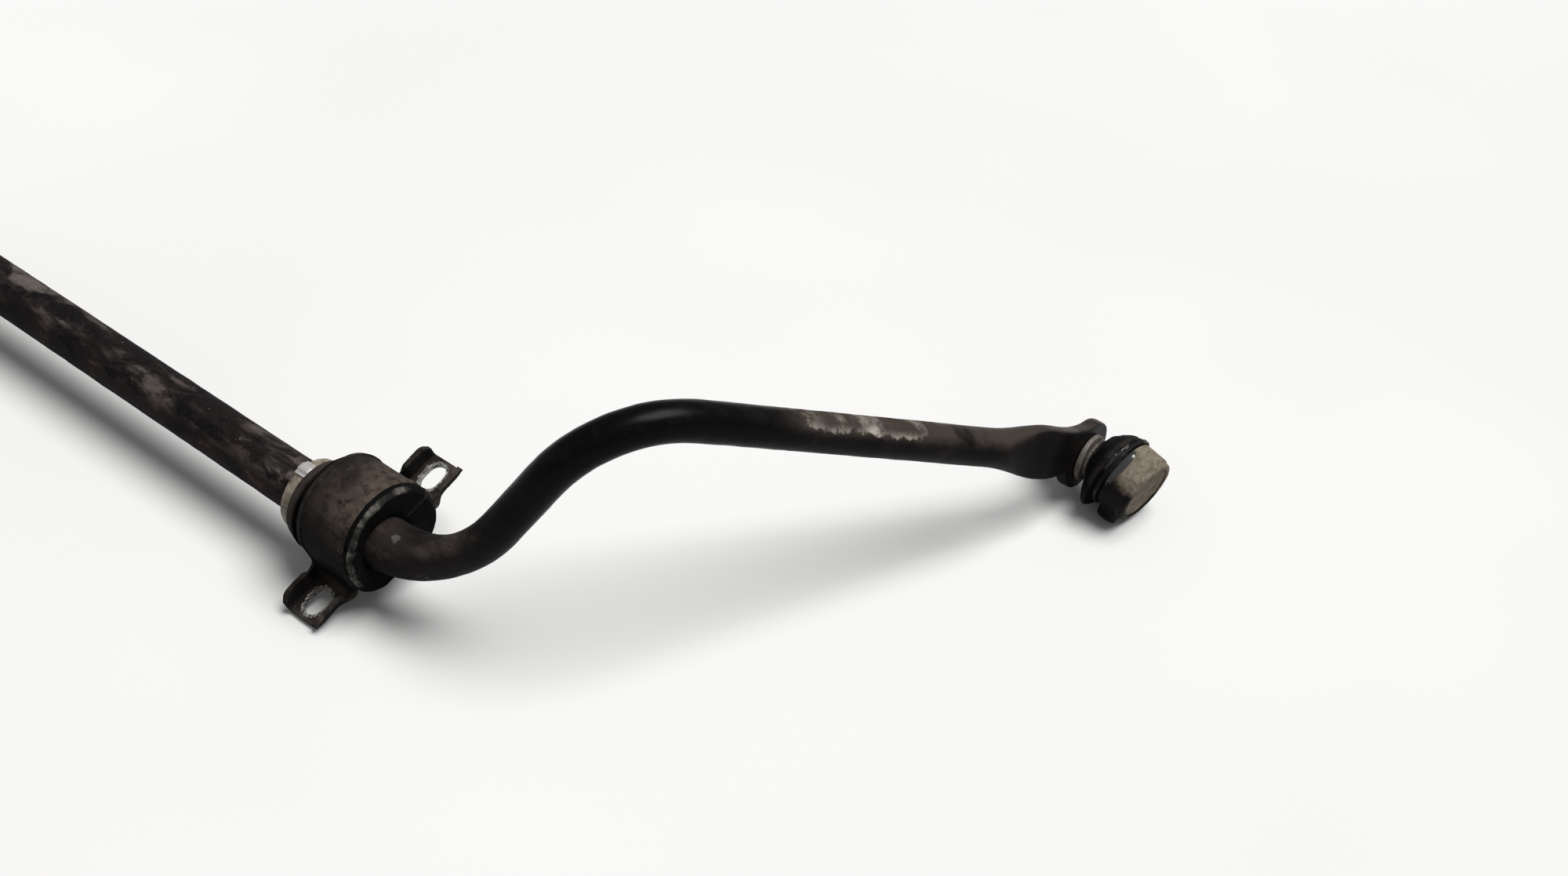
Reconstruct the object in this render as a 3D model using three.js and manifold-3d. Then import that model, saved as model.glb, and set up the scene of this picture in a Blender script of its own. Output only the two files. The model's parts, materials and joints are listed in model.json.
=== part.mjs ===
// Sway bar (stabiliser bar) with its two frame bushings, saddle brackets, stop
// collars and the ball joints of its end links.
//
// Millimetres, +Z up. X runs along the torsion section, +Y points from the torsion
// section to the eyes of the two arms. The bar lies as it does on a bench: on the
// short ears of both brackets and on the sawn necks of both link housings. The origin
// is the middle of the underside of the whole assembly.

import * as THREE from 'three';
import { mergeVertices } from 'three/addons/utils/BufferGeometryUtils.js';
import Module from 'manifold-3d';

const wasm = await Module();
wasm.setup();

// ---------------------------------------------------------------- dimensions

const gap = 0.3; // clearance left between neighbouring solids
const cutterReach = 40; // half length of a cutter that has to pass right through

const bar = {
  radius: 14, // torsion section
  armRadius: 10.25, // arms, after the taper
  halfSpan: 330, // middle of the bar to the middle of a bracket
  taperStart: 16.5, // distance outboard of the bracket centre
  taperEnd: 70.5,
  sides: 20,
  bendStep: 11, // degrees of bend per ring
};

// Corners of the arm's centreline, from the bracket centre, each with its bend radius.
const armCorners = [
  { at: new THREE.Vector3(63.2, 0, 0), bend: 74 },
  { at: new THREE.Vector3(120.2, 48.5, 109.6), bend: 57 },
  { at: new THREE.Vector3(231, 277.4, 6.8), bend: 30 },
];
const armEnd = new THREE.Vector3(231, 313.4, -10.9);

// The eye sits a little below the middle of the arm's blade.
const eye = {
  centre: new THREE.Vector3(231, 311.3, -14.3),
  radius: 19.5,
  halfThickness: 3.75,
  holeRadius: 6.3,
};

// Half widths of the forged blade, by distance before the arm's end.
const blade = {
  flattenStart: 84,
  flattenEnd: 50,
  end: 4,
  halfThickness: 3.6,
  halfWidth: 14.5,
  neckHalfWidth: 13,
  neckAt: 26,
};

const bracket = {
  tilt: 21, // degrees, swivelled on the bar
  sheet: 3,
  offset: 3.9, // saddle's middle, forward of the bar's axis
  saddleRadius: 28.4, // outside of the sheet
  saddleHalfWidth: 16.5,
  seat: -22, // underside of the ears, below the bar's axis
  rootBend: 6,
  earReach: 54, // from the saddle's middle to an ear's free end
  earHalfWidth: 13,
  inboardFlangeRise: 8.5, // above the ear's top face
  outboardFlangeRise: 5,
  flangeSheet: 2.4,
  flangeLean: 1.6,
  earCorner: 5,
  rimRise: 1.8, // turned-up edge round the saddle
  rimWidth: 2,
  rimDrop: 0.35, // radians that the rim runs down past the saddle's half circle
  slotSpacing: 85.5,
  slotHalfWidth: 5.25,
  slotLength: 15.5,
};

const bushing = {
  radius: 25.1,
  base: -22.6, // flat foot, slightly proud of the bracket for preload
  footChamfer: 1,
  inboardEnd: -20.5,
  neckRootRadius: 24, // round neck that reaches the stop collar
  neckEndRadius: 22,
  neckEnd: -27.4,
  lipRadius: 28.6,
  lipFootChamfer: 8,
  lipThickness: 5.2,
  lipChamfer: 2.6,
  boreMouth: 0.5, // the bore opens by this much towards the arm's first bend
  slitWidth: 0.6,
  slitTurn: 10, // degrees above the foot's plane, on the arm's side
};

const collar = {
  outerRadius: 19.5,
  inboardFace: -35,
  outboardFace: -28,
  edge: 1.2, // chamfer
  clipLength: 7.4,
  clipWidth: 9,
  clipHeight: 1.7,
  clipFoot: 0.4, // its ends reach this far down the collar's sides
  clipTurn: 10, // degrees from the top of the bracket's saddle
};

const joint = {
  ballFromEye: 27, // ball centre to the eye's outboard face
  ballRadius: 9,
  tilt: 13, // degrees, housing leaning on its ball
  leanTurn: 32, // the lean is this far forward of straight down
};

const stud = {
  threadRadius: 6,
  threadLength: 15, // inboard of the eye
  flangeRadius: 10,
  flangeThickness: 2.2,
  neckRadius: 4.6,
  neckFlare: 1.6, // wider at the flange, over neckFlareLength
  neckFlareLength: 4,
  ballSteps: 6,
};

const nut = {
  acrossFlats: 18,
  height: 10,
  flangeRadius: 12.5,
  flangeThickness: 2,
  flangeTaper: 0.8,
  crownChamfer: 1.2,
};

const washer = { radius: 13.5, thickness: 2.6, edge: 0.6 };

const boot = {
  foldRadius: 23.6,
  beadRadius: 20.2,
  sag: 3.2, // the old fold hangs this far towards the link's neck
  smallRadius: 8.6, // inside of its end on the stud
  smallBead: 10.6,
  ringRadius: 11.9, // wire ring round its small end
  ringWire: 0.9,
  clampSheet: 1.1,
  clampEdge: 0.4,
};

const housing = {
  radius: 20,
  neckRadius: 17.5,
  mouthRadius: 10.6,
  boreRadius: 15.3,
  mouth: -8.6, // positions along the axis, from the ball's centre
  shoulder: -4.8,
  boreFloor: -5.3,
  capSeat: 9.2,
  capBoreRadius: 17.1,
  end: 12.4,
  edge: 0.8, // rounding of the cup's rims
  wall: 2,
  stubRadius: 5.6,
  stubFlare: 0.8,
  stubReach: 25,
  stubAt: 2.5,
};

const seat = { radius: 15, start: -5, end: 8.9, pocketRadius: 4 };

const cap = { radius: 16.8, start: 9.5, thickness: 2.2, dishRadius: 9, dish: 0.8 };

// ------------------------------------------------------------------- helpers

function facingOut(geometry) {
  const solid = geometry.index ? geometry.toNonIndexed() : geometry;
  const at = solid.attributes.position;
  const corner = [new THREE.Vector3(), new THREE.Vector3(), new THREE.Vector3()];
  let volume = 0;
  for (let i = 0; i < at.count; i += 3) {
    corner.forEach((point, k) => point.fromBufferAttribute(at, i + k));
    volume += corner[0].dot(corner[1].clone().cross(corner[2]));
  }
  if (volume > 0) return geometry;
  const merged = withSharedCorners(geometry);
  const index = Array.from(merged.index.array);
  for (let i = 0; i < index.length; i += 3) {
    [index[i], index[i + 1]] = [index[i + 1], index[i]];
  }
  merged.setIndex(index);
  return merged;
}

function withSharedCorners(geometry) {
  const bare = geometry.clone();
  bare.deleteAttribute('normal');
  bare.deleteAttribute('uv');
  return mergeVertices(bare, 1e-4);
}

function toSolid(geometry) {
  const merged = withSharedCorners(facingOut(geometry));
  const mesh = new wasm.Mesh({
    numProp: 3,
    vertProperties: new Float32Array(merged.attributes.position.array),
    triVerts: new Uint32Array(merged.index.array),
  });
  return new wasm.Manifold(mesh);
}

function toGeometry(solid) {
  const mesh = solid.getMesh();
  const geometry = new THREE.BufferGeometry();
  const corners = new THREE.Float32BufferAttribute(mesh.vertProperties, 3);
  geometry.setAttribute('position', corners);
  geometry.setIndex(Array.from(mesh.triVerts));
  return geometry;
}

// Closed body through rings that all have the same number of points.
function loft(rings) {
  const count = rings[0].length;
  const points = rings.flat();
  const first = points.length;
  points.push(middleOf(rings[0]), middleOf(rings[rings.length - 1]));
  const index = [];
  for (let ring = 0; ring < rings.length - 1; ring += 1) {
    for (let i = 0; i < count; i += 1) {
      const a = ring * count + i;
      const b = ring * count + (i + 1) % count;
      index.push(a, b, a + count, b, b + count, a + count);
    }
  }
  const lastRing = (rings.length - 1) * count;
  for (let i = 0; i < count; i += 1) {
    const next = (i + 1) % count;
    index.push(first, next, i);
    index.push(first + 1, lastRing + i, lastRing + next);
  }
  const geometry = new THREE.BufferGeometry().setFromPoints(points);
  geometry.setIndex(index);
  return facingOut(geometry);
}

function middleOf(points) {
  const sum = new THREE.Vector3();
  points.forEach((point) => sum.add(point));
  return sum.divideScalar(points.length);
}

// Turned body about the X axis; the profile lists [position along X, radius].
function turned(profile, segments) {
  const points = profile.map(([x, radius]) => new THREE.Vector2(radius, x));
  const geometry = new THREE.LatheGeometry(points, segments);
  geometry.rotateZ(-Math.PI / 2);
  return facingOut(geometry);
}

// Outline in the YZ plane, extruded from one X position to another.
function extrudedAlongX(shape, from, to, curveSegments = 8) {
  const options = { depth: to - from, bevelEnabled: false, curveSegments };
  const geometry = new THREE.ExtrudeGeometry(shape, options);
  const yAxis = new THREE.Vector3(0, 1, 0);
  const zAxis = new THREE.Vector3(0, 0, 1);
  const xAxis = new THREE.Vector3(1, 0, 0);
  geometry.applyMatrix4(new THREE.Matrix4().makeBasis(yAxis, zAxis, xAxis));
  geometry.translate(from, 0, 0);
  return geometry;
}

function boxBetween(low, high) {
  const size = high.clone().sub(low);
  const geometry = new THREE.BoxGeometry(size.x, size.y, size.z);
  geometry.translate(low.x + size.x / 2, low.y + size.y / 2, low.z + size.z / 2);
  return geometry;
}

function mirroredInX(geometry) {
  const copy = geometry.clone();
  copy.scale(-1, 1, 1);
  return facingOut(copy);
}

function smoothStep(value, start, end) {
  const t = Math.min(Math.max((value - start) / (end - start), 0), 1);
  return t * t * (3 - 2 * t);
}

// ------------------------------------------------------------ stabiliser bar

// Points along straight runs joined by arcs, from the middle of the bar to the eye.
function armCentreline() {
  const start = new THREE.Vector3(-bar.halfSpan, 0, 0);
  const corners = [start, ...armCorners.map((corner) => corner.at), armEnd];
  const points = [start];
  for (let i = 1; i < corners.length - 1; i += 1) {
    const back = corners[i - 1].clone().sub(corners[i]).normalize();
    const ahead = corners[i + 1].clone().sub(corners[i]).normalize();
    const inside = back.angleTo(ahead);
    const radius = armCorners[i - 1].bend;
    const tangent = radius / Math.tan(inside / 2);
    const middle = back.clone().add(ahead).normalize();
    const centre = corners[i].clone().addScaledVector(middle, radius / Math.sin(inside / 2));
    const from = corners[i].clone().addScaledVector(back, tangent).sub(centre);
    const axis = from.clone().cross(corners[i].clone().addScaledVector(ahead, tangent).sub(centre));
    axis.normalize();
    const turn = Math.PI - inside;
    const steps = Math.ceil(THREE.MathUtils.radToDeg(turn) / bar.bendStep);
    for (let k = 0; k <= steps; k += 1) {
      points.push(from.clone().applyAxisAngle(axis, (turn * k) / steps).add(centre));
    }
  }
  points.push(armEnd.clone());
  return points;
}

// Distances along the centreline, with extra stations where the section changes.
function stationsAlong(points) {
  const lengths = [0];
  for (let i = 1; i < points.length; i += 1) {
    lengths.push(lengths[i - 1] + points[i].distanceTo(points[i - 1]));
  }
  const total = lengths[lengths.length - 1];
  const bladeStations = [];
  for (let before = blade.flattenStart; before > blade.end; before -= 8) {
    bladeStations.push(total - before);
  }
  const taperStations = [bar.halfSpan + bar.taperStart];
  const end = total - blade.end;
  const all = [...lengths, ...bladeStations, ...taperStations, end];
  const sorted = all.filter((at) => at <= end).sort((a, b) => a - b);
  const spaced = sorted.filter((at, i) => i === 0 || at - sorted[i - 1] > 1);
  return { lengths, total, spaced };
}

function pointAt(points, lengths, distance) {
  let i = 1;
  while (i < lengths.length - 1 && lengths[i] < distance) i += 1;
  const share = (distance - lengths[i - 1]) / (lengths[i] - lengths[i - 1]);
  return points[i - 1].clone().lerp(points[i], share);
}

function sectionAt(distance, total) {
  const fromBracket = distance - bar.halfSpan;
  const taper = smoothStep(fromBracket, bar.taperStart, bar.taperEnd);
  const round = THREE.MathUtils.lerp(bar.radius, bar.armRadius, taper);
  const before = total - distance;
  const flat = 1 - smoothStep(before, blade.flattenEnd, blade.flattenStart);
  const neck = 1 - smoothStep(before, blade.neckAt, blade.flattenEnd);
  const width = THREE.MathUtils.lerp(blade.halfWidth, blade.neckHalfWidth, neck);
  return {
    thickness: THREE.MathUtils.lerp(round, blade.halfThickness, flat),
    width: THREE.MathUtils.lerp(round, width, flat),
    squareness: THREE.MathUtils.lerp(1, 0.5, flat),
  };
}

// Superellipse ring: an ordinary circle at squareness 1, a rounded bar end at 0.5.
function sectionRing(centre, thin, wide, section) {
  const ring = [];
  for (let i = 0; i < bar.sides; i += 1) {
    const angle = (2 * Math.PI * i) / bar.sides;
    const c = Math.cos(angle);
    const s = Math.sin(angle);
    const across = Math.sign(c) * Math.abs(c) ** section.squareness * section.thickness;
    const along = Math.sign(s) * Math.abs(s) ** section.squareness * section.width;
    ring.push(centre.clone().addScaledVector(thin, across).addScaledVector(wide, along));
  }
  return ring;
}

function armRings() {
  const points = armCentreline();
  const { lengths, total, spaced } = stationsAlong(points);
  const centres = spaced.map((distance) => pointAt(points, lengths, distance));
  const tangents = centres.map((_, i) => {
    const ahead = centres[Math.min(i + 1, centres.length - 1)];
    const behind = centres[Math.max(i - 1, 0)];
    return ahead.clone().sub(behind).normalize();
  });
  const rings = [];
  let thin = new THREE.Vector3(1, 0, 0);
  for (let i = centres.length - 1; i >= 0; i -= 1) {
    const tangent = tangents[i];
    if (i < centres.length - 1) {
      const turn = new THREE.Quaternion().setFromUnitVectors(tangents[i + 1], tangent);
      thin = thin.applyQuaternion(turn);
    }
    thin.addScaledVector(tangent, -thin.dot(tangent)).normalize();
    const wide = tangent.clone().cross(thin);
    const section = sectionAt(spaced[i], total);
    rings.unshift(sectionRing(centres[i], thin.clone(), wide, section));
  }
  const toMiddle = new THREE.Vector3(bar.halfSpan, 0, 0);
  return rings.map((ring) => ring.map((point) => point.add(toMiddle)));
}

function eyeDisc(side) {
  const outline = new THREE.Shape();
  outline.absarc(0, 0, eye.radius, 0, 2 * Math.PI, false);
  const disc = extrudedAlongX(outline, -eye.halfThickness, eye.halfThickness, 32);
  disc.translate(side * (bar.halfSpan + eye.centre.x), eye.centre.y, eye.centre.z);
  return disc;
}

function eyeHole(side) {
  const reach = 3 * eye.halfThickness;
  const profile = [[-reach, 0], [-reach, eye.holeRadius], [reach, eye.holeRadius], [reach, 0]];
  const hole = turned(profile, 20);
  hole.translate(side * (bar.halfSpan + eye.centre.x), eye.centre.y, eye.centre.z);
  return hole;
}

function stabilizerBar() {
  const right = armRings();
  const left = right.map((ring) => ring.map((point) => point.clone().setX(-point.x)));
  const rings = [...left.slice(1).reverse(), ...right];
  let solid = toSolid(loft(rings));
  for (const side of [-1, 1]) {
    solid = solid.add(toSolid(eyeDisc(side)));
    solid = solid.subtract(toSolid(eyeHole(side)));
  }
  return toGeometry(solid);
}

// --------------------------------------------------------- bracket, bushing

// The pressed sheet seen along the bar: ear, bend, saddle, bend, ear.
function bracketOutline() {
  const outer = bracket.saddleRadius;
  const inner = outer - bracket.sheet;
  const under = bracket.seat;
  const top = under + bracket.sheet;
  const bend = bracket.rootBend;
  const innerBend = bend + bracket.sheet;
  const shape = new THREE.Shape();
  shape.moveTo(-bracket.earReach, under);
  shape.lineTo(-inner - innerBend, under);
  shape.absarc(-inner - innerBend, under + innerBend, innerBend, -Math.PI / 2, 0, false);
  shape.absarc(0, 0, inner, Math.PI, 0, true);
  shape.absarc(inner + innerBend, under + innerBend, innerBend, Math.PI, 1.5 * Math.PI, false);
  shape.lineTo(bracket.earReach, under);
  shape.lineTo(bracket.earReach, top);
  shape.absarc(outer + bend, top + bend, bend, 1.5 * Math.PI, Math.PI, true);
  shape.absarc(0, 0, outer, 0, Math.PI, false);
  shape.absarc(-outer - bend, top + bend, bend, 0, -Math.PI / 2, true);
  shape.lineTo(-bracket.earReach, top);
  return shape;
}

// Everything beside an ear, cut away from the full-width pressing.
function besideEar(direction, flank) {
  const far = bracket.earReach + 5;
  const near = bracket.saddleRadius + bracket.rootBend * 0.5;
  const corner = bracket.earCorner;
  const shape = new THREE.Shape();
  const edge = flank * bracket.earHalfWidth;
  const out = flank * (bracket.saddleHalfWidth + 5);
  shape.moveTo(edge, near + corner);
  shape.quadraticCurveTo(edge, near, edge + flank * corner, near - corner);
  shape.lineTo(out, near - corner);
  shape.lineTo(out, far);
  shape.lineTo(edge, far);
  const options = { depth: cutterReach, bevelEnabled: false, curveSegments: 4 };
  const geometry = new THREE.ExtrudeGeometry(shape, options);
  geometry.translate(0, 0, bracket.seat - 1);
  if (direction < 0) geometry.scale(1, -1, 1);
  return facingOut(geometry);
}

// Turned-up side of an ear, leaning outwards and rounded at its free end.
function earFlange(direction, flank) {
  const rise = flank < 0 ? bracket.inboardFlangeRise : bracket.outboardFlangeRise;
  const overlap = 0.2; // kept inside the ear, so that the two join
  const end = bracket.earReach - overlap;
  const foot = bracket.seat + 3 * overlap;
  const crest = bracket.seat + bracket.sheet + rise;
  const start = bracket.saddleRadius - 1;
  const shape = new THREE.Shape();
  shape.moveTo(start, foot);
  shape.lineTo(end, foot);
  shape.lineTo(end, crest - bracket.earCorner);
  shape.quadraticCurveTo(end, crest, bracket.earReach - bracket.earCorner, crest);
  shape.lineTo(start, crest);
  const inside = bracket.earHalfWidth - bracket.flangeLean - bracket.flangeSheet;
  const geometry = extrudedAlongX(shape, inside, inside + bracket.flangeSheet, 4);
  const at = geometry.attributes.position;
  for (let i = 0; i < at.count; i += 1) {
    const height = (at.getZ(i) - foot) / (crest - foot);
    at.setX(i, flank * (at.getX(i) + height * bracket.flangeLean));
    at.setY(i, direction * at.getY(i));
  }
  return facingOut(geometry);
}

// Small turned-up rim round the saddle's open edge.
function saddleRim(flank) {
  const outer = bracket.saddleRadius + bracket.rimRise;
  const inner = bracket.saddleRadius - bracket.sheet / 6;
  const shape = new THREE.Shape();
  shape.absarc(0, 0, outer, -bracket.rimDrop, Math.PI + bracket.rimDrop, false);
  shape.absarc(0, 0, inner, Math.PI + bracket.rimDrop, -bracket.rimDrop, true);
  const edge = bracket.saddleHalfWidth - 0.05; // just inside the sheet's own edge
  const geometry = extrudedAlongX(shape, edge - bracket.rimWidth, edge, 12);
  return flank > 0 ? geometry : mirroredInX(geometry);
}

function slotCutter(direction) {
  const straight = bracket.slotLength / 2 - bracket.slotHalfWidth;
  const shape = new THREE.Shape();
  shape.absarc(0, straight, bracket.slotHalfWidth, 0, Math.PI, false);
  shape.absarc(0, -straight, bracket.slotHalfWidth, Math.PI, 2 * Math.PI, false);
  const depth = 4 * bracket.sheet;
  const options = { depth, bevelEnabled: false, curveSegments: 6 };
  const geometry = new THREE.ExtrudeGeometry(shape, options);
  geometry.translate(0, (direction * bracket.slotSpacing) / 2, bracket.seat - bracket.sheet);
  return geometry;
}

function saddleBracket() {
  const half = bracket.saddleHalfWidth;
  let solid = toSolid(extrudedAlongX(bracketOutline(), -half, half, 8));
  for (const direction of [-1, 1]) {
    for (const flank of [-1, 1]) {
      solid = solid.subtract(toSolid(besideEar(direction, flank)));
    }
    for (const flank of [-1, 1]) {
      solid = solid.add(toSolid(earFlange(direction, flank)));
    }
    solid = solid.subtract(toSolid(slotCutter(direction)));
  }
  for (const flank of [-1, 1]) {
    solid = solid.add(toSolid(saddleRim(flank)));
  }
  solid = solid.subtract(toSolid(saddleRoom()));
  return toGeometry(solid.translate([0, bracket.offset, 0]));
}

// The room that the bushing needs inside the saddle.
function saddleRoom() {
  const inner = bracket.saddleRadius - bracket.sheet;
  const shape = new THREE.Shape();
  shape.moveTo(-inner, bracket.seat - 5);
  shape.lineTo(inner, bracket.seat - 5);
  shape.absarc(0, 0, inner, 0, Math.PI, false);
  return extrudedAlongX(shape, -cutterReach, cutterReach, 8);
}

// Round above and straight down its sides, with its foot's corners cut off.
function archShape(radius, base, chamfer) {
  const shape = new THREE.Shape();
  shape.moveTo(-radius, base + chamfer);
  shape.lineTo(-radius + chamfer, base);
  shape.lineTo(radius - chamfer, base);
  shape.lineTo(radius, base + chamfer);
  shape.absarc(0, 0, radius, 0, Math.PI, false);
  return shape;
}

// Lip that bears on the bracket's outboard edge, chamfered round its face.
function bushingLip() {
  const start = bracket.saddleHalfWidth + gap;
  const face = start + bushing.lipThickness;
  const rings = [
    [start, bushing.lipRadius],
    [face - bushing.lipChamfer, bushing.lipRadius],
    [face, bushing.lipRadius - bushing.lipChamfer],
  ].map(([x, radius]) => {
    const shape = archShape(radius, bushing.base, bushing.lipFootChamfer);
    const outline = shape.getPoints(14).slice(0, -1);
    return outline.map((point) => new THREE.Vector3(x, point.x, point.y));
  });
  return loft(rings);
}

function rubberBushing() {
  const body = archShape(bushing.radius, bushing.base, bushing.footChamfer);
  const lipStart = bracket.saddleHalfWidth + gap;
  let solid = toSolid(extrudedAlongX(body, bushing.inboardEnd, lipStart + 1, 14));
  solid = solid.add(toSolid(bushingLip())).translate([0, bracket.offset, 0]);
  solid = solid.add(toSolid(turned([
    [bushing.neckEnd, 0],
    [bushing.neckEnd, bushing.neckEndRadius],
    [bushing.inboardEnd + 1, bushing.neckRootRadius],
    [bushing.inboardEnd + 1, 0],
  ], 28)));
  const bore = bar.radius + gap;
  const face = lipStart + bushing.lipThickness;
  solid = solid.subtract(toSolid(turned([
    [-cutterReach, 0],
    [-cutterReach, bore],
    [face - 2 * bushing.lipThickness, bore],
    [face, bore + bushing.boreMouth],
    [cutterReach, bore + bushing.boreMouth],
    [cutterReach, 0],
  ], bar.sides)));
  const low = new THREE.Vector3(-cutterReach, 0, -bushing.slitWidth / 2);
  const high = new THREE.Vector3(cutterReach, cutterReach, bushing.slitWidth / 2);
  const slit = boxBetween(low, high);
  slit.rotateX(THREE.MathUtils.degToRad(bushing.slitTurn));
  return toGeometry(solid.subtract(toSolid(slit)));
}

// ------------------------------------------------------------- stop collar

function stopCollar() {
  const inner = bar.radius + gap;
  const outer = collar.outerRadius;
  const profile = [
    [collar.inboardFace, inner],
    [collar.inboardFace, outer - collar.edge],
    [collar.inboardFace + collar.edge, outer],
    [collar.outboardFace - collar.edge, outer],
    [collar.outboardFace, outer - collar.edge],
    [collar.outboardFace, inner],
    [collar.inboardFace, inner],
  ];
  return turned(profile, 28);
}

// Folded clip that closes the collar's joint.
function collarClip() {
  const middle = (collar.inboardFace + collar.outboardFace) / 2;
  const base = collar.outerRadius + gap;
  const half = collar.clipWidth / 2;
  const reach = collar.clipLength / 2;
  const spread = Math.asin(half / base);
  const crown = 0.8; // share of the width left at its top
  const shape = new THREE.Shape();
  shape.moveTo(-half, base - collar.clipFoot);
  shape.absarc(0, 0, base, Math.PI / 2 + spread, Math.PI / 2 - spread, true);
  shape.lineTo(half * crown, base + collar.clipHeight);
  shape.lineTo(-half * crown, base + collar.clipHeight);
  return extrudedAlongX(shape, middle - reach, middle + reach, 5);
}

// ---------------------------------------------------------- end link joints
// All of these turn about X, with the centre of the ball at the origin.

const eyeFace = -joint.ballFromEye;
const washerStart = eyeFace + gap;
const studFlangeStart = washerStart + washer.thickness + gap;
const studFlangeEnd = studFlangeStart + stud.flangeThickness;

function ballStud() {
  const threadEnd = eyeFace - 2 * eye.halfThickness - stud.threadLength;
  const ballStart = -Math.sqrt(joint.ballRadius ** 2 - stud.neckRadius ** 2);
  const profile = [
    [threadEnd, 0],
    [threadEnd, stud.threadRadius - 1],
    [threadEnd + 1, stud.threadRadius],
    [studFlangeStart, stud.threadRadius],
    [studFlangeStart, stud.flangeRadius],
    [studFlangeEnd, stud.flangeRadius],
    [studFlangeEnd, stud.neckRadius + stud.neckFlare],
    [studFlangeEnd + stud.neckFlareLength, stud.neckRadius],
    [ballStart, stud.neckRadius],
  ];
  const startAngle = Math.acos(-ballStart / joint.ballRadius);
  for (let i = 1; i <= stud.ballSteps; i += 1) {
    const angle = startAngle + ((Math.PI - startAngle) * i) / stud.ballSteps;
    profile.push([-joint.ballRadius * Math.cos(angle), joint.ballRadius * Math.sin(angle)]);
  }
  profile[profile.length - 1][1] = 0;
  return turned(profile, 20);
}

function studWasher() {
  const inner = stud.threadRadius + gap;
  const end = washerStart + washer.thickness;
  const profile = [
    [washerStart, inner],
    [washerStart, washer.radius],
    [end - washer.edge, washer.radius],
    [end, washer.radius - washer.edge],
    [end, inner],
    [washerStart, inner],
  ];
  return turned(profile, 24);
}

function hexFlangeNut() {
  const face = eyeFace - 2 * eye.halfThickness - gap;
  const flangeEnd = face - nut.flangeThickness;
  const flange = turned([
    [face, 0],
    [face, nut.flangeRadius],
    [flangeEnd, nut.flangeRadius - nut.flangeTaper],
    [flangeEnd, 0],
  ], 24);
  const corner = nut.acrossFlats / Math.sqrt(3);
  const hexagon = new THREE.Shape();
  for (let i = 0; i < 6; i += 1) {
    const angle = (Math.PI * i) / 3;
    hexagon.lineTo(corner * Math.cos(angle), corner * Math.sin(angle));
  }
  const hexEnd = face - nut.height;
  const hexStart = face - nut.flangeThickness / 4;
  const crown = turned([
    [hexEnd, 0],
    [hexEnd, nut.acrossFlats / 2],
    [hexEnd + nut.crownChamfer, corner],
    [hexStart, corner],
    [hexStart, 0],
  ], 24);
  const hex = toSolid(extrudedAlongX(hexagon, hexEnd, hexStart));
  const body = toSolid(flange).add(hex.intersect(toSolid(crown)));
  const bore = stud.threadRadius + gap;
  const ends = [hexEnd - nut.height, face + nut.height];
  const path = [[ends[0], 0], [ends[0], bore], [ends[1], bore], [ends[1], 0]];
  return toGeometry(body.subtract(toSolid(turned(path, 18))));
}

function jointHousing() {
  const { edge } = housing;
  const profile = [
    [housing.mouth, housing.mouthRadius],
    [housing.mouth, housing.neckRadius],
    [housing.shoulder, housing.neckRadius],
    [housing.shoulder, housing.radius - edge],
    [housing.shoulder + edge, housing.radius],
    [housing.end - 2 * edge, housing.radius],
    [housing.end, housing.radius - 1.5 * edge],
    [housing.end, housing.capBoreRadius],
    [housing.capSeat, housing.capBoreRadius],
    [housing.capSeat, housing.boreRadius],
    [housing.boreFloor, housing.boreRadius],
    [housing.boreFloor, housing.mouthRadius],
    [housing.mouth, housing.mouthRadius],
  ];
  const cup = toSolid(turned(profile, 28));
  const rootRadius = housing.stubRadius + housing.stubFlare;
  const neck = new THREE.CylinderGeometry(housing.stubRadius, rootRadius, 1, 12);
  const root = housing.boreRadius + housing.wall;
  neck.scale(1, housing.stubReach - root, 1);
  neck.translate(0, (housing.stubReach + root) / 2, 0);
  neck.rotateX(Math.PI / 2 + THREE.MathUtils.degToRad(180 - joint.leanTurn));
  neck.translate(housing.stubAt, 0, 0);
  return toGeometry(cup.add(toSolid(neck)));
}

// Plastic liner with a spherical pocket, open for the neck and at its back.
function ballSeat() {
  const inside = joint.ballRadius + gap;
  const mouth = Math.acos(-seat.start / inside);
  const back = Math.PI - Math.asin(seat.pocketRadius / inside);
  const profile = [
    [seat.start, seat.radius],
    [seat.end, seat.radius],
    [seat.end, seat.pocketRadius],
  ];
  for (let i = 0; i <= stud.ballSteps; i += 1) {
    const angle = back + ((mouth - back) * i) / stud.ballSteps;
    profile.push([-inside * Math.cos(angle), inside * Math.sin(angle)]);
  }
  profile.push(profile[0]);
  return turned(profile, 20);
}

function endCap() {
  const end = cap.start + cap.thickness;
  return turned([
    [cap.start, 0],
    [cap.start, cap.radius],
    [end, cap.radius],
    [end, cap.dishRadius + 2],
    [end - cap.dish, cap.dishRadius],
    [end - cap.dish, 0],
  ], 24);
}

// Outside of the dust boot from its small end on the stud to its skirt on the housing.
const bootOutside = [
  [studFlangeEnd + gap, boot.smallRadius],
  [studFlangeEnd + gap, boot.smallBead],
  [studFlangeEnd + 2.6, boot.smallBead],
  [studFlangeEnd + 2.9, 13.2],
  [studFlangeEnd + 4.4, 18.4],
  [studFlangeEnd + 7, 22.1],
  [studFlangeEnd + 10.2, boot.foldRadius],
  [studFlangeEnd + 12.4, boot.foldRadius - 0.5],
  [studFlangeEnd + 12.8, 21.9],
  [housing.mouth + 0.2, 21],
  [housing.mouth + 1.2, boot.beadRadius],
  [housing.shoulder - gap, boot.beadRadius],
];

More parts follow.
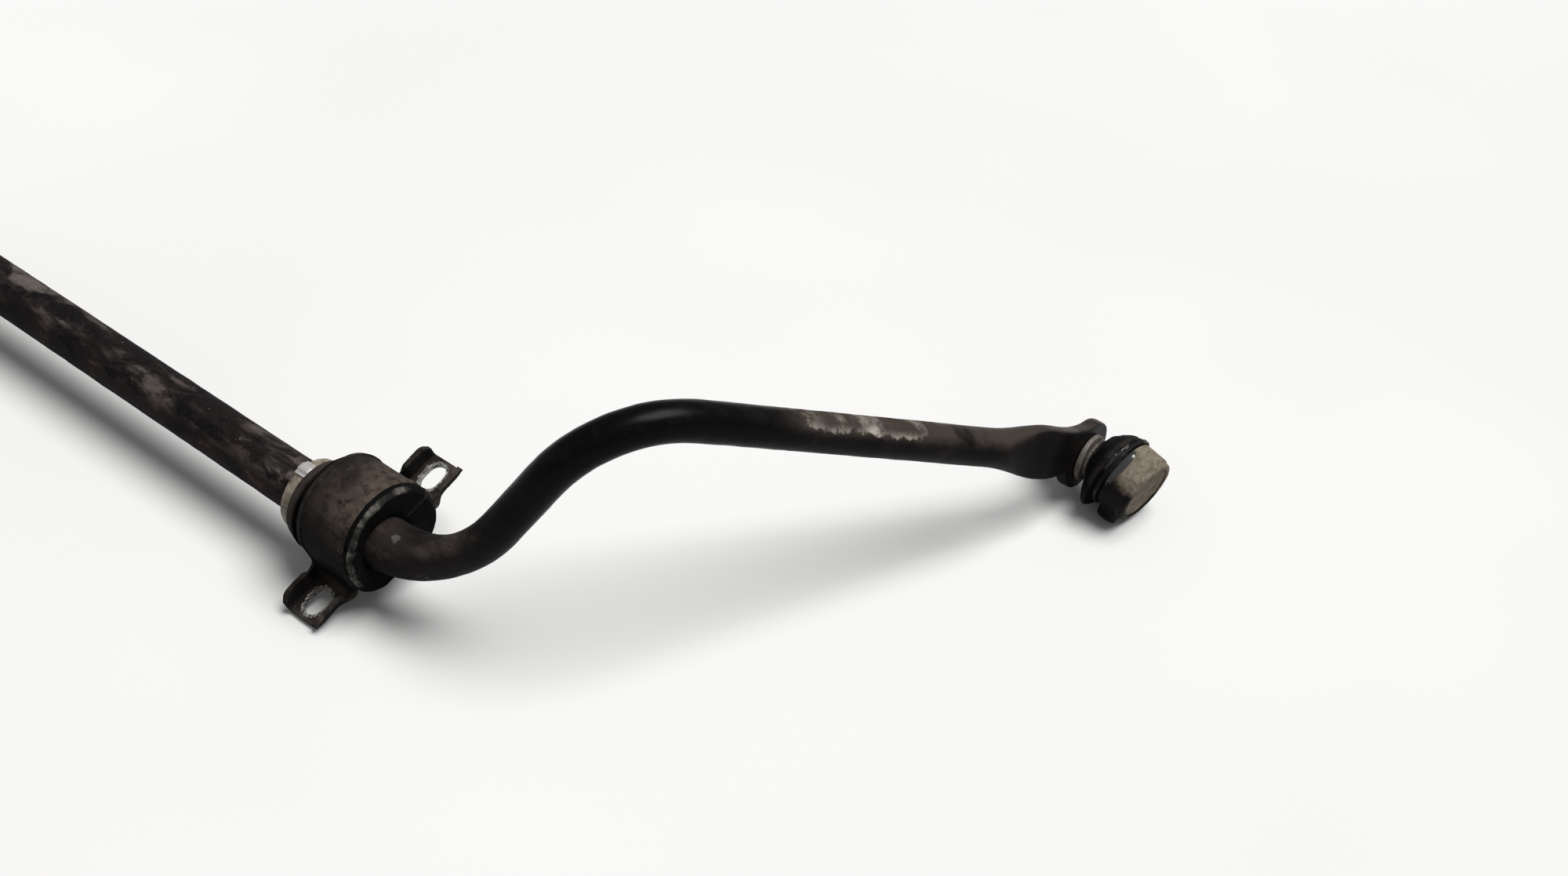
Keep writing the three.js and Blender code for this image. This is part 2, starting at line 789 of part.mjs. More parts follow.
const bootInside = [
  [housing.shoulder - gap, housing.neckRadius + gap],
  [housing.mouth - 0.6, housing.neckRadius + gap],
  [studFlangeEnd + 10.6, 20],
  [studFlangeEnd + 9.2, 21.3],
  [studFlangeEnd + 7.6, 20.1],
  [studFlangeEnd + 6.2, 17.4],
  [studFlangeEnd + 5, 12.2],
  [studFlangeEnd + 4.6, boot.smallRadius],
];

// Drops the fold towards the link's neck and leaves both ends of the boot in place.
function sagged(geometry) {
  const at = geometry.attributes.position;
  const down = new THREE.Vector3(1, 0, 0).cross(leanAxis()).negate();
  for (let i = 0; i < at.count; i += 1) {
    const x = at.getX(i);
    const radius = Math.hypot(at.getY(i), at.getZ(i));
    const pastStud = smoothStep(x, studFlangeEnd + 2.6, studFlangeEnd + 6.5);
    const nearBead = smoothStep(x, housing.mouth - 2.8, housing.mouth - 0.8);
    const inBead = 1 - smoothStep(radius, boot.beadRadius + 0.4, boot.beadRadius + 2.4);
    const drop = boot.sag * pastStud * (1 - nearBead * inBead);
    at.setY(i, at.getY(i) + down.y * drop);
    at.setZ(i, at.getZ(i) + down.z * drop);
  }
  return geometry;
}

// Turns each point about the ball's centre, by nothing at the stud and by the whole
// tilt at the housing, so that the boot joins two parts that lean apart.
function bentToTilt(geometry) {
  const at = geometry.attributes.position;
  const axis = leanAxis();
  const point = new THREE.Vector3();
  for (let i = 0; i < at.count; i += 1) {
    point.fromBufferAttribute(at, i);
    const share = smoothStep(point.x, studFlangeEnd + 3, housing.mouth - 0.5);
    point.applyAxisAngle(axis, share * THREE.MathUtils.degToRad(joint.tilt));
    at.setXYZ(i, point.x, point.y, point.z);
  }
  return geometry;
}

function dustBoot() {
  const profile = [...bootOutside, ...bootInside, bootOutside[0]];
  return bentToTilt(sagged(turned(profile, 28)));
}

// Round wire ring, as a turned hexagon.
function wireRing(x, radius, wire) {
  const profile = [];
  for (let i = 0; i <= 6; i += 1) {
    const angle = (Math.PI * i) / 3;
    profile.push([x + wire * Math.cos(angle), radius + wire * Math.sin(angle)]);
  }
  profile[6] = profile[0];
  return turned(profile, 24);
}

function smallBootRing() {
  return wireRing(studFlangeEnd + 1.5, boot.ringRadius, boot.ringWire);
}

function largeBootClamp() {
  const start = housing.mouth + 1.4;
  const end = housing.shoulder - gap;
  const inner = boot.beadRadius + gap;
  const outer = inner + boot.clampSheet;
  const edge = boot.clampEdge;
  return turned([
    [start, inner],
    [start, outer - edge],
    [start + edge, outer],
    [end - edge, outer],
    [end, outer - edge],
    [end, inner],
    [start, inner],
  ], 28);
}

// The housing leans about this axis through the ball's centre.
function leanAxis() {
  const turn = THREE.MathUtils.degToRad(joint.leanTurn);
  return new THREE.Vector3(0, Math.cos(turn), -Math.sin(turn));
}

// ---------------------------------------------------------------- materials

function material(colour, roughness, metalness) {
  return new THREE.MeshStandardMaterial({ color: colour, roughness, metalness });
}

const materials = {
  bar: material(0x2c2a2b, 0.55, 0.4),
  bracket: material(0x3f352d, 0.75, 0.3),
  rubber: material(0x17171a, 0.8, 0),
  collar: material(0x9a9078, 0.6, 0),
  clip: material(0xd8d6d0, 0.4, 0.6),
  zinc: material(0x8d8478, 0.45, 0.9),
  housing: material(0x8a7f72, 0.7, 0.5),
  clamp: material(0x9aa0a4, 0.3, 1),
  seat: material(0xe4e0d4, 0.5, 0),
};

// ----------------------------------------------------------------- assembly

function addPiece(parent, name, geometry, surface, side) {
  const shape = side < 0 ? mirroredInX(geometry) : geometry;
  const mesh = new THREE.Mesh(shape, surface);
  mesh.name = name;
  parent.add(mesh);
}

function groupAt(parent, x, y, z) {
  const group = new THREE.Group();
  group.position.set(x, y, z);
  parent.add(group);
  return group;
}

function addSide(parent, side, label) {
  const bracketTurn = THREE.MathUtils.degToRad(bracket.tilt);
  const mounting = groupAt(parent, side * bar.halfSpan, 0, 0);
  mounting.rotation.x = bracketTurn;
  addPiece(mounting, `rubber_bushing_${label}`, rubberBushing(), materials.rubber, side);
  addPiece(mounting, `saddle_bracket_${label}`, saddleBracket(), materials.bracket, side);

  const stop = groupAt(parent, side * bar.halfSpan, 0, 0);
  stop.rotation.x = bracketTurn - THREE.MathUtils.degToRad(collar.clipTurn);
  addPiece(stop, `stop_collar_${label}`, stopCollar(), materials.collar, side);
  addPiece(stop, `collar_clip_${label}`, collarClip(), materials.clip, side);

  const ballX = side * (bar.halfSpan + eye.centre.x + eye.halfThickness + joint.ballFromEye);
  const fixed = groupAt(parent, ballX, eye.centre.y, eye.centre.z);
  addPiece(fixed, `ball_stud_${label}`, ballStud(), materials.zinc, side);
  addPiece(fixed, `flange_nut_${label}`, hexFlangeNut(), materials.zinc, side);
  addPiece(fixed, `stud_washer_${label}`, studWasher(), materials.zinc, side);
  addPiece(fixed, `boot_ring_${label}`, smallBootRing(), materials.clamp, side);
  addPiece(fixed, `dust_boot_${label}`, dustBoot(), materials.rubber, side);

  const leaning = groupAt(parent, ballX, eye.centre.y, eye.centre.z);
  const tilt = THREE.MathUtils.degToRad(side * joint.tilt);
  leaning.quaternion.setFromAxisAngle(leanAxis(), tilt);
  addPiece(leaning, `joint_housing_${label}`, jointHousing(), materials.housing, side);
  addPiece(leaning, `ball_seat_${label}`, ballSeat(), materials.seat, side);
  addPiece(leaning, `end_cap_${label}`, endCap(), materials.housing, side);
  addPiece(leaning, `boot_clamp_${label}`, largeBootClamp(), materials.clamp, side);
}

function swayBar() {
  const assembly = new THREE.Group();
  const onBench = new THREE.Group();
  assembly.add(onBench);
  addPiece(onBench, 'stabilizer_bar', stabilizerBar(), materials.bar, 1);
  addSide(onBench, 1, 'right');
  addSide(onBench, -1, 'left');
  assembly.updateMatrixWorld(true);
  const box = new THREE.Box3().setFromObject(onBench, true);
  onBench.position.set(0, -(box.min.y + box.max.y) / 2, -box.min.z);
  assembly.updateMatrixWorld(true);
  return assembly;
}

export default swayBar();
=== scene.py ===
"""Looks of a used sway bar with its bushings, brackets and end link joints.

Shapes are drawn in millimetres, with X pointing away from the bar's middle. The bar is
drawn from its own middle, the bracket, bushing and collar from the middle of the
bushing, and the end link's pieces from the centre of the ball.
"""

import json
from math import acos, asin, atan2, ceil, cos, degrees, exp, hypot, pi, radians, sin, tan

import bmesh
import bpy
from mathutils import Matrix, Vector, noise


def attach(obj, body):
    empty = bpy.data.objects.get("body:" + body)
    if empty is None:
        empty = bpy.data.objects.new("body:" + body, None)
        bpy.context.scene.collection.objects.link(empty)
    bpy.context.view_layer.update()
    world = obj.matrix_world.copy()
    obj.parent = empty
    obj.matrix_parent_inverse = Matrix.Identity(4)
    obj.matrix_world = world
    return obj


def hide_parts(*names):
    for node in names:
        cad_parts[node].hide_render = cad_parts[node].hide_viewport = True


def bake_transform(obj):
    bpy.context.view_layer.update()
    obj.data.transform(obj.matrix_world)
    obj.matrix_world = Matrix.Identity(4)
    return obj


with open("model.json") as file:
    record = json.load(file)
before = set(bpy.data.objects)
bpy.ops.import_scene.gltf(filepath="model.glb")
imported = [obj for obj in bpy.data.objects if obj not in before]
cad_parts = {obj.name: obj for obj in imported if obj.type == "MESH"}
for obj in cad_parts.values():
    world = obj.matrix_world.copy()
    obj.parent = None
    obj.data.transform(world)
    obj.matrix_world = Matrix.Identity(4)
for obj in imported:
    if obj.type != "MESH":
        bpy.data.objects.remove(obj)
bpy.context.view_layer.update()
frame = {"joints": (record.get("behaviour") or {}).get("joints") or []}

MM = 0.001
SIDES = {"right": 1, "left": -1}

# ---- sizes in mm, angles in degrees

# The bar. Its arm bends at corners measured from the bushing's middle, each with the
# radius of the bend, and is forged flat over the last stretch before the eye.
BAR_RADIUS, ARM_RADIUS = 14, 10.25
TAPER_START, TAPER_END = 16.5, 70.5
ARM_CORNERS = [((63.2, 0, 0), 74), ((120.2, 48.5, 109.6), 57), ((231, 277.4, 6.8), 30)]
ARM_END = Vector((231, 313.2, -10.9))
EYE_CENTRE = Vector((231, 311.3, -14.3))
EYE_RADIUS, EYE_HOLE, EYE_HALF = 19.5, 6.3, 3.75
BLADE_START, BLADE_END, BLADE_LAST = 84, 50, 22
BLADE_HALF, BLADE_WIDTH, BLADE_NECK, NECK_AT = 3.6, 14.5, 13, 26
MUD_START, MUD_END = 588, 712
SPOT, SPOT_RADIUS = Vector((32, -4, 13)), 3.2

# The bracket, whose saddle is offset forwards from the bar.
SHEET = 3
SADDLE_OFFSET, SADDLE_RADIUS, SADDLE_HALF = 3.9, 28.4, 16.5
SEAT = -22
ROOT_BEND = 6
EAR_REACH, EAR_HALF = 53.8, 13
INBOARD_FLANGE, OUTBOARD_FLANGE, RIM_RISE = 8.5, 5, 1.8
SLOT_SPACING, SLOT_HALF, SLOT_LENGTH = 85.5, 5.25, 15.5
BRACKET_TILT = 21

# The bushing. A dent in its lip is (angle, width as an angle, depth).
BUSHING_RADIUS, BUSHING_BORE = 25.1, 14.2
FOOT, FOOT_CHAMFER = 22.6, 8
LIP_RADIUS, LIP_START, LIP_FACE = 28.6, 16.8, 22
NECK_ROOT, NECK_TIP = 24, 22
NECK_START, NECK_END = -20.6, -27.4
SLIT_ANGLE, SLIT_SIDE, SLIT_DEPTH = 10, 1.1, 2.2
LIP_DENTS = [(142, 2.6, 1.5), (118, 1.2, 0.5), (165, 1.6, 0.6), (95, 1.4, 0.45)]

# The stop collar and its clip.
COLLAR_RADIUS, COLLAR_IN, COLLAR_OUT = 19.5, -35, -28
CLIP_TURN = 11
CLIP_HALF, CLIP_SHEET, CLIP_FOLD = 3.6, 0.8, 0.85

# The end link's joint, leaning away from the stud about an axis turned from Y.
BALL_RADIUS = 9
JOINT_TILT, LEAN_TURN = 13, 32
THREAD_RADIUS, THREAD_PITCH, THREAD_LENGTH = 6, 1.25, 15
STUD_FLANGE, STUD_FLANGE_END, STUD_FLANGE_RADIUS = -23.8, -21.6, 10
STUD_NECK = 4.6
WASHER_FACE, WASHER_RADIUS, WASHER_SHEET = -26.7, 13.5, 2.6
NUT_FACE, NUT_HEIGHT, NUT_ACROSS, NUT_FLANGE = -34.8, 10, 18, 12.5
HOUSING_MOUTH, HOUSING_SHOULDER, HOUSING_END = -8.6, -4.8, 12.4
HOUSING_RADIUS, HOUSING_NECK = 20, 17.5
HOUSING_BORE, HOUSING_OPENING = 15.3, 10.6
STUB_SHIFT = 2.5
CAP_FACE, CAP_RADIUS = 9.5, 16.8
BOOT_BEND_START, BOOT_BEND_END = -18.6, -9.1
BOOT_BEAD, BOOT_FOLD, BOOT_SAG = 20.2, 23.2, 3.2
RING_RADIUS, RING_WIRE = 11.9, 0.9
CLAMP_INNER, CLAMP_OUTER = 20.55, 21.55

# ---- places in the frame

JOINT_PLACES = {joint["name"]: Vector(joint["pos_m"]) for joint in frame["joints"]}
SWIVEL = JOINT_PLACES["right_bushing_swivel"]
HALF_SPAN = SWIVEL.x / MM


def placed(place, side=1, turn=Matrix.Identity(4)):
    """Matrix from a piece's own millimetres to its place in metres, mirrored on the left."""
    return Matrix.Translation(place) @ turn @ Matrix.Diagonal((side * MM, MM, MM, 1))


def bracket_place(side_name, extra_turn=0):
    turn = Matrix.Rotation(radians(BRACKET_TILT + extra_turn), 4, "X")
    return placed(JOINT_PLACES[side_name + "_bushing_swivel"], SIDES[side_name], turn)


def lean_axis():
    turn = radians(LEAN_TURN)
    return Vector((0, cos(turn), -sin(turn)))


def ball_place(side_name, tilt=0):
    side = SIDES[side_name]
    turn = Matrix.Rotation(side * radians(tilt), 4, lean_axis())
    return placed(JOINT_PLACES[side_name + "_link_turn"], side, turn)


# ---- numbers and outlines


def ramp(value, start, end):
    """0 before start, 1 past end, smooth between."""
    t = min(max((value - start) / (end - start), 0), 1)
    return t * t * (3 - 2 * t)


def hump(value, middle, width):
    """1 at the middle, fading out over about twice the width on each side."""
    return exp(-(((value - middle) / width) ** 2))


def mix(a, b, share):
    return a + (b - a) * share


def full_turn(count):
    return [2 * pi * i / count for i in range(count)]


def beside_axis(x, radius, angle):
    """Point at a radius from the X axis; the angle runs from Y towards Z."""
    return Vector((x, radius * cos(angle), radius * sin(angle)))


def ring(x, radius, segments):
    return [beside_axis(x, radius, angle) for angle in full_turn(segments)]


def polar(y, z):
    """Distance from the X axis, and angle in degrees from Y towards Z."""
    return hypot(y, z), degrees(atan2(z, y))


def arc(x, y, radius, start, end, steps):
    """Points on an arc round (x, y), from one angle to another in degrees."""
    angles = [radians(mix(start, end, k / steps)) for k in range(steps + 1)]
    return [(x + radius * cos(angle), y + radius * sin(angle)) for angle in angles]


def rounded(outline, steps=4, closed=True):
    """Outline of (x, y, corner radius) with its corners rounded."""
    result = []
    count = len(outline)
    for i, (x, y, radius) in enumerate(outline):
        if radius == 0 or (not closed and i in (0, count - 1)):
            result.append((x, y))
            continue
        corner = Vector((x, y))
        before = Vector(outline[i - 1][:2]) - corner
        after = Vector(outline[(i + 1) % count][:2]) - corner
        half = before.angle(after) / 2
        reach = min(radius / tan(half), before.length * 0.49, after.length * 0.49)
        start = corner + before.normalized() * reach
        end = corner + after.normalized() * reach
        for k in range(steps + 1):
            t = k / steps
            point = start * (1 - t) ** 2 + corner * 2 * t * (1 - t) + end * t**2
            result.append((point.x, point.y))
    return result


def through(points, steps=4, closed=True):
    """Smooth curve through (x, y) points."""
    if closed:
        padded = [points[-1], *points, *points[:2]]
    else:
        padded = [points[0], *points, points[-1]]
    result = []
    for picks in zip(padded, padded[1:], padded[2:], padded[3:]):
        p0, p1, p2, p3 = [Vector(pick) for pick in picks]
        for k in range(steps):
            t = k / steps
            bend = (2 * p0 - 5 * p1 + 4 * p2 - p3) * t**2 + (3 * p1 - p0 - 3 * p2 + p3) * t**3
            result.append(tuple(0.5 * (2 * p1 + (p2 - p0) * t + bend)))
    return result if closed else result + [points[-1]]


def dense(points, spacing, closed=True):
    """Straight runs of (x, y) points split so that no step is longer than spacing."""
    ends = points[1:] + points[:1] if closed else points[1:]
    result = []
    for start, end in zip(points, ends):
        run = Vector(end) - Vector(start)
        parts = max(1, ceil(run.length / spacing))
        result += [tuple(Vector(start) + run * k / parts) for k in range(parts)]
    return result if closed else result + [points[-1]]


# ---- meshes


def new_object(name, data):
    made = bpy.data.objects.new(name, data)
    bpy.context.scene.collection.objects.link(made)
    return made


def raw_mesh(points, faces):
    mesh = bpy.data.meshes.new("shape")
    mesh.from_pydata([tuple(point) for point in points], [], faces)
    return mesh


def tidied(mesh):
    """The mesh with its faces pointing out and no loose points."""
    work = bmesh.new()
    work.from_mesh(mesh)
    loose = [v for v in work.verts if not v.link_faces]
    bmesh.ops.delete(work, geom=loose, context="VERTS")
    bmesh.ops.recalc_face_normals(work, faces=work.faces)
    work.to_mesh(mesh)
    work.free()
    return mesh


def with_modifiers(mesh, *settings):
    """The mesh after modifiers, each given as (type, {setting: value})."""
    holder = new_object("shaping", mesh)
    for kind, values in settings:
        modifier = holder.modifiers.new(kind, kind)
        for setting, value in values.items():
            setattr(modifier, setting, value)
    graph = bpy.context.evaluated_depsgraph_get()
    result = bpy.data.meshes.new_from_object(holder.evaluated_get(graph))
    bpy.data.objects.remove(holder)
    return result


def combined(mesh, other, operation):
    """The mesh joined with or cut by another closed mesh."""
    tool = new_object("tool", other)
    settings = {"object": tool, "operation": operation, "solver": "EXACT"}
    result = with_modifiers(mesh, ("BOOLEAN", settings))
    bpy.data.objects.remove(tool)
    return result


def ring_faces(rows, around, closed):
    """Quads between rows of points; closed joins the last row to the first."""
    faces = []
    for row in range(rows if closed else rows - 1):
        here, below = row * around, (row + 1) % rows * around
        for i in range(around):
            nearby = (i + 1) % around
            faces.append((here + i, here + nearby, below + nearby, below + i))
    return faces


def lofted(rings, closed=False):
    """Body through rings of points; open ends are closed with a flat face."""
    around = len(rings[0])
    points = [point for ring in rings for point in ring]
    faces = ring_faces(len(rings), around, closed)
    if not closed:
        faces.append(tuple(range(around)))
        faces.append(tuple(range(len(points) - around, len(points))))
    return tidied(raw_mesh(points, faces))


def turned(profile, segments=96, closed=True):
    """Body turned about X from (x, radius) points; an open profile ends on the axis."""
    tiny = 0.02
    return lofted([ring(x, max(radius, tiny), segments) for x, radius in profile], closed)


def set_mask(mesh, name, values):
    layer = mesh.attributes.get(name) or mesh.attributes.new(name, "FLOAT", "POINT")
    layer.data.foreach_set("value", values)


def set_masks(mesh, **rules):
    """Masks whose value at each point comes from a rule of the point's place."""
    for name, rule in rules.items():
        set_mask(mesh, name, [rule(vertex.co) for vertex in mesh.vertices])


def add_edge_masks(mesh):
    """Masks 'edge' on convex edges, for wear, and a second mask in concave creases, for painted shade.
    """
    work = bmesh.new()
    work.from_mesh(mesh)
    work.normal_update()
    bend = []
    for v in work.verts:
        total = 0
        for link in v.link_edges:
            reach = v.co - link.other_vert(v).co
            total += reach.dot(v.normal) / max(reach.length, 1e-6)
        bend.append(total / max(len(v.link_edges), 1))
    softened = []
    for v in work.verts:
        nearby = [bend[link.other_vert(v).index] for link in v.link_edges]
        softened.append((bend[v.index] + sum(nearby)) / (1 + len(nearby)))
    work.free()
    for name, strength in (("edge", 4), ("crevice_shade", -4)):
        set_mask(mesh, name, [min(max(value * strength, 0), 1) for value in softened])


def roughen(mesh, amount, size, seed):
    """Moves the points in and out by a fractal noise; amount and size in metres."""
    work = bmesh.new()
    work.from_mesh(mesh)
    work.normal_update()
    shift = Vector((seed * 7.31, seed * 3.17, seed * 5.73))
    moves = [v.normal * noise.fractal(v.co / size + shift, 0.6, 2.2, 4) * amount for v in work.verts]
    for v, move in zip(work.verts, moves):
        v.co += move
    work.to_mesh(mesh)
    work.free()


def add_piece(node, shape, place, body, material, uneven=None, crisp=35):
    """Puts a copy of a shape in its place, on its body, for its CAD node."""
    mesh = shape.copy()
    if "edge" not in mesh.attributes:
        add_edge_masks(mesh)
    mesh.transform(place)
    tidied(mesh)
    if uneven:
        roughen(mesh, *uneven)
    mesh.polygons.foreach_set("use_smooth", [True] * len(mesh.polygons))
    mesh.set_sharp_from_angle(angle=radians(crisp))
    mesh.materials.clear()
    mesh.materials.append(material)
    piece = new_object(node + "_look", mesh)
    mesh.name = piece.name
    if body:
        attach(piece, body)
    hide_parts(node)
    return piece


# ---- materials


class Paint:
    """One procedural material; sizes of its patterns are in millimetres."""

    def __init__(self, name, roughness=0.5, specular=0.5):
        self.material = bpy.data.materials.new(name)
        self.material.use_nodes = True
        self.tree = self.material.node_tree
        self.tree.nodes.clear()
        levels = {"Roughness": roughness, "Specular IOR Level": specular}
        self.shader = self.node("ShaderNodeBsdfPrincipled", levels)
        self.node("ShaderNodeOutputMaterial", {"Surface": self.shader.outputs["BSDF"]})
        self.colour = None

    def node(self, kind, inputs=(), **settings):
        """New node, each of whose inputs gets a value or another node's output."""
        made = self.tree.nodes.new(kind)
        for setting, value in settings.items():
            setattr(made, setting, value)
        for name, value in dict(inputs).items():
            self.feed(made.inputs[name], value)
        return made

    def feed(self, socket, value):
        if hasattr(value, "is_output"):
            self.tree.links.new(value, socket)
        else:
            socket.default_value = value

    def place(self, stretch, shift):
        here = self.node("ShaderNodeTexCoord").outputs["Object"]
        inputs = {"Vector": here, "Scale": stretch, "Location": shift}
        return self.node("ShaderNodeMapping", inputs).outputs["Vector"]

    def noise(self, size, detail=5, rough=0.6, stretch=(1, 1, 1), seed=0, distort=0.0):
        inputs = {
            "Vector": self.place(stretch, (seed * 1.7, seed * 0.9, seed * 1.3)),
            "Scale": 1 / (size * MM),
            "Detail": detail,
            "Roughness": rough,
            "Distortion": distort,
        }
        return self.node("ShaderNodeTexNoise", inputs).outputs[0]

    def specks(self, size, seed):
        """Distance to the nearest of many scattered points."""
        place = self.place((1, 1, 1), (seed * 1.1, seed * 0.7, seed * 1.9))
        inputs = {"Vector": place, "Scale": 1 / (size * MM)}
        return self.node("ShaderNodeTexVoronoi", inputs).outputs["Distance"]

    def band(self, value, low, high):
        """0 below low, 1 above high, smooth between; the other way if low > high."""
        inputs = {"Value": value, "From Min": low, "From Max": high}
        rescale = self.node("ShaderNodeMapRange", inputs, interpolation_type="SMOOTHSTEP")
        return rescale.outputs["Result"]

    def share(self, given):
        """A mask given by name, a band given as (value, low, high), or the value itself."""
        if isinstance(given, str):
            return self.node("ShaderNodeAttribute", attribute_name=given).outputs["Fac"]
        return self.band(*given) if isinstance(given, tuple) else given

    def chained(self, operation, values):
        result, *others = [self.share(value) for value in values]
        for other in others:
            step = self.node("ShaderNodeMath", {0: result, 1: other}, operation=operation)
            result = step.outputs[0]
        return result

    def times(self, *values):
        return self.chained("MULTIPLY", values)

    def plus(self, *values):
        return self.chained("ADD", values)

    def upward(self, low, high):
        """1 where the surface faces up as the part lies, for settled dust."""
        normal = self.node("ShaderNodeTexCoord").outputs["Normal"]
        facing = self.node("ShaderNodeSeparateXYZ", {0: normal})
        return self.band(facing.outputs["Z"], low, high)

    def blend(self, share, a, b):
        """Colour a where share is 0 and b where it is 1."""
        a, b = [tone if hasattr(tone, "is_output") else (*tone, 1) for tone in (a, b)]
        inputs = {0: self.share(share), 6: a, 7: b}
        return self.node("ShaderNodeMix", inputs, data_type="RGBA").outputs[2]

    def level(self, share, a, b):
        """Number a where share is 0 and b where it is 1."""
        inputs = {0: self.share(share), 2: a, 3: b}
        return self.node("ShaderNodeMix", inputs, data_type="FLOAT").outputs[0]

    def cover(self, tone, *shares):
        """Lays a tone over the colour so far, as thick as the product of the shares."""
        self.colour = self.blend(self.times(*shares), self.colour, tone)

    def wet(self, share):
        """A clear film of oil over part of the surface."""
        self.feed(self.shader.inputs["Coat Weight"], share)
        self.shader.inputs["Coat Roughness"].default_value = 0.06

    def finish(self, gloss=None, bumps=(), metal=0.0):
        """Joins the results to the shader; bumps are (height, depth in mm)."""
        self.feed(self.shader.inputs["Base Color"], self.colour)
        self.feed(self.shader.inputs["Metallic"], metal)
        if gloss:
            self.feed(self.shader.inputs["Roughness"], gloss)
        below = {}
        for height, depth in bumps:
            bump = self.node("ShaderNodeBump", {"Distance": depth * MM, "Height": height, **below})
            below = {"Normal": bump.outputs["Normal"]}
            self.feed(self.shader.inputs["Normal"], bump.outputs["Normal"])
        return self.material


def bar_coating():
    """Black coating, clean on the bends, flaking and dusty on the torsion section."""
    paint = Paint("bar_coating", specular=0.045)
    aged = paint.share("aged")
    clouds = paint.noise(26, stretch=(0.35, 1, 1), seed=1)
    patches = paint.noise(11, detail=6, rough=0.62, stretch=(0.5, 1, 1), seed=2, distort=0.4)
    grain = paint.noise(0.9, detail=3, rough=0.7, seed=3)
    specks = paint.specks(2.6, seed=4)
    mud_grain = paint.noise(5, rough=0.7, seed=6)

    worn = paint.blend((clouds, 0.38, 0.62), (0.0026, 0.0021, 0.0022), (0.0098, 0.0073, 0.0073))
    rust = paint.times((patches, 0.56, 0.66), (clouds, 0.42, 0.56))
    worn = paint.blend(rust, worn, (0.032, 0.019, 0.0155))
    paint.colour = paint.blend(aged, (0.0012, 0.0012, 0.0013), worn)
    dust = paint.times(aged, paint.upward(0.3, 0.9), (clouds, 0.45, 0.62), (patches, 0.46, 0.56))
    paint.cover((0.085, 0.073, 0.066), dust, 0.8)
    paint.cover((0.0013, 0.0011, 0.0012), (patches, 0.46, 0.41), aged)
    paint.cover((0.2, 0.19, 0.17), (specks, 0.16, 0.1), (aged, 0.3, 0.6), (patches, 0.58, 0.64))

    mud_field = paint.plus("mud", mud_grain)
    mud = paint.band(mud_field, 0.9, 1.16)
    dried = paint.blend((mud_field, 1.08, 1.28), (0.03, 0.0245, 0.0195), (0.34, 0.31, 0.27))
    paint.cover(dried, mud)
    paint.cover((0.03, 0.024, 0.02), "dusted", paint.upward(0.25, 0.85), (clouds, 0.32, 0.56))
    spot = paint.plus("spot", paint.times(mud_grain, 1.5))
    paint.cover((0.058, 0.056, 0.053), (spot, 1.25, 1.4))
    paint.cover((0.05, 0.043, 0.04), (grain, 0.3, 0.75), paint.level(aged, 0.02, 0.14))

    gloss = paint.level(aged, 0.24, 0.7)
    gloss = paint.level((grain, 0.3, 0.8), gloss, paint.plus(gloss, 0.08))
    gloss = paint.level((paint.plus(mud, dust), 0, 1), gloss, 0.95)
    depth = paint.plus(paint.times(paint.plus(patches, clouds), aged), paint.times(mud, 0.5))
    return paint.finish(gloss, [(depth, 0.5), (grain, 0.05)])


def bracket_paint():
    """Dark worn paint under brown dust, scraped to bright steel round the slots."""
    paint = Paint("bracket_paint", specular=0.06)
    clouds = paint.noise(17, detail=4, seed=1)
    fine = paint.noise(0.7, detail=4, rough=0.75, seed=2)
    specks = paint.specks(1.7, seed=3)
    blots = paint.noise(5, rough=0.65, seed=5)
    scratch = paint.noise(1.3, detail=6, rough=0.75, stretch=(1, 0.25, 1), seed=7, distort=1.5)
    broad = paint.noise(3.4, detail=4, rough=0.65, seed=8)
    up = paint.upward(-0.1, 0.85)

    dusty = paint.blend((clouds, 0.36, 0.64), (0.019, 0.0148, 0.0125), (0.05, 0.0385, 0.0305))
    lying = paint.times(up, paint.level("outboard", 0.2, 1.0), (blots, 0.2, 0.6))
    paint.colour = paint.blend(lying, (0.0032, 0.0028, 0.0029), dusty)
    paint.cover((0.06, 0.05, 0.042), (fine, 0.5, 0.8), up, 0.3)
    paint.cover((0.006, 0.005, 0.0045), (fine, 0.42, 0.28), 0.5)
    paint.cover((0.2, 0.185, 0.165), (specks, 0.13, 0.08), (blots, 0.56, 0.62))
    paint.cover((0.055, 0.047, 0.04), "edge", (blots, 0.42, 0.6), 0.5)
    # Painted shade: the concave creases are darkened to near black.
    paint.cover((0.004, 0.0035, 0.003), "crevice_shade", 0.85)

    scraped = paint.plus("scrape", paint.times(paint.plus(scratch, broad), 1.5))
    scraped = paint.band(scraped, 1.92, 2.06)
    steel = paint.blend((scratch, 0.44, 0.62), (0.03, 0.029, 0.027), (0.45, 0.44, 0.42))
    paint.cover(steel, scraped)
    gloss = paint.level((fine, 0.3, 0.7), 0.68, 0.9)
    gloss = paint.level(scraped, gloss, paint.level((scratch, 0.3, 0.7), 0.5, 0.34))
    marks = paint.plus(paint.times(fine, 0.4), paint.times(scraped, scratch, 0.8))
    return paint.finish(gloss, [(blots, 0.18), (marks, 0.16)], metal=paint.times(scraped, 0.6))


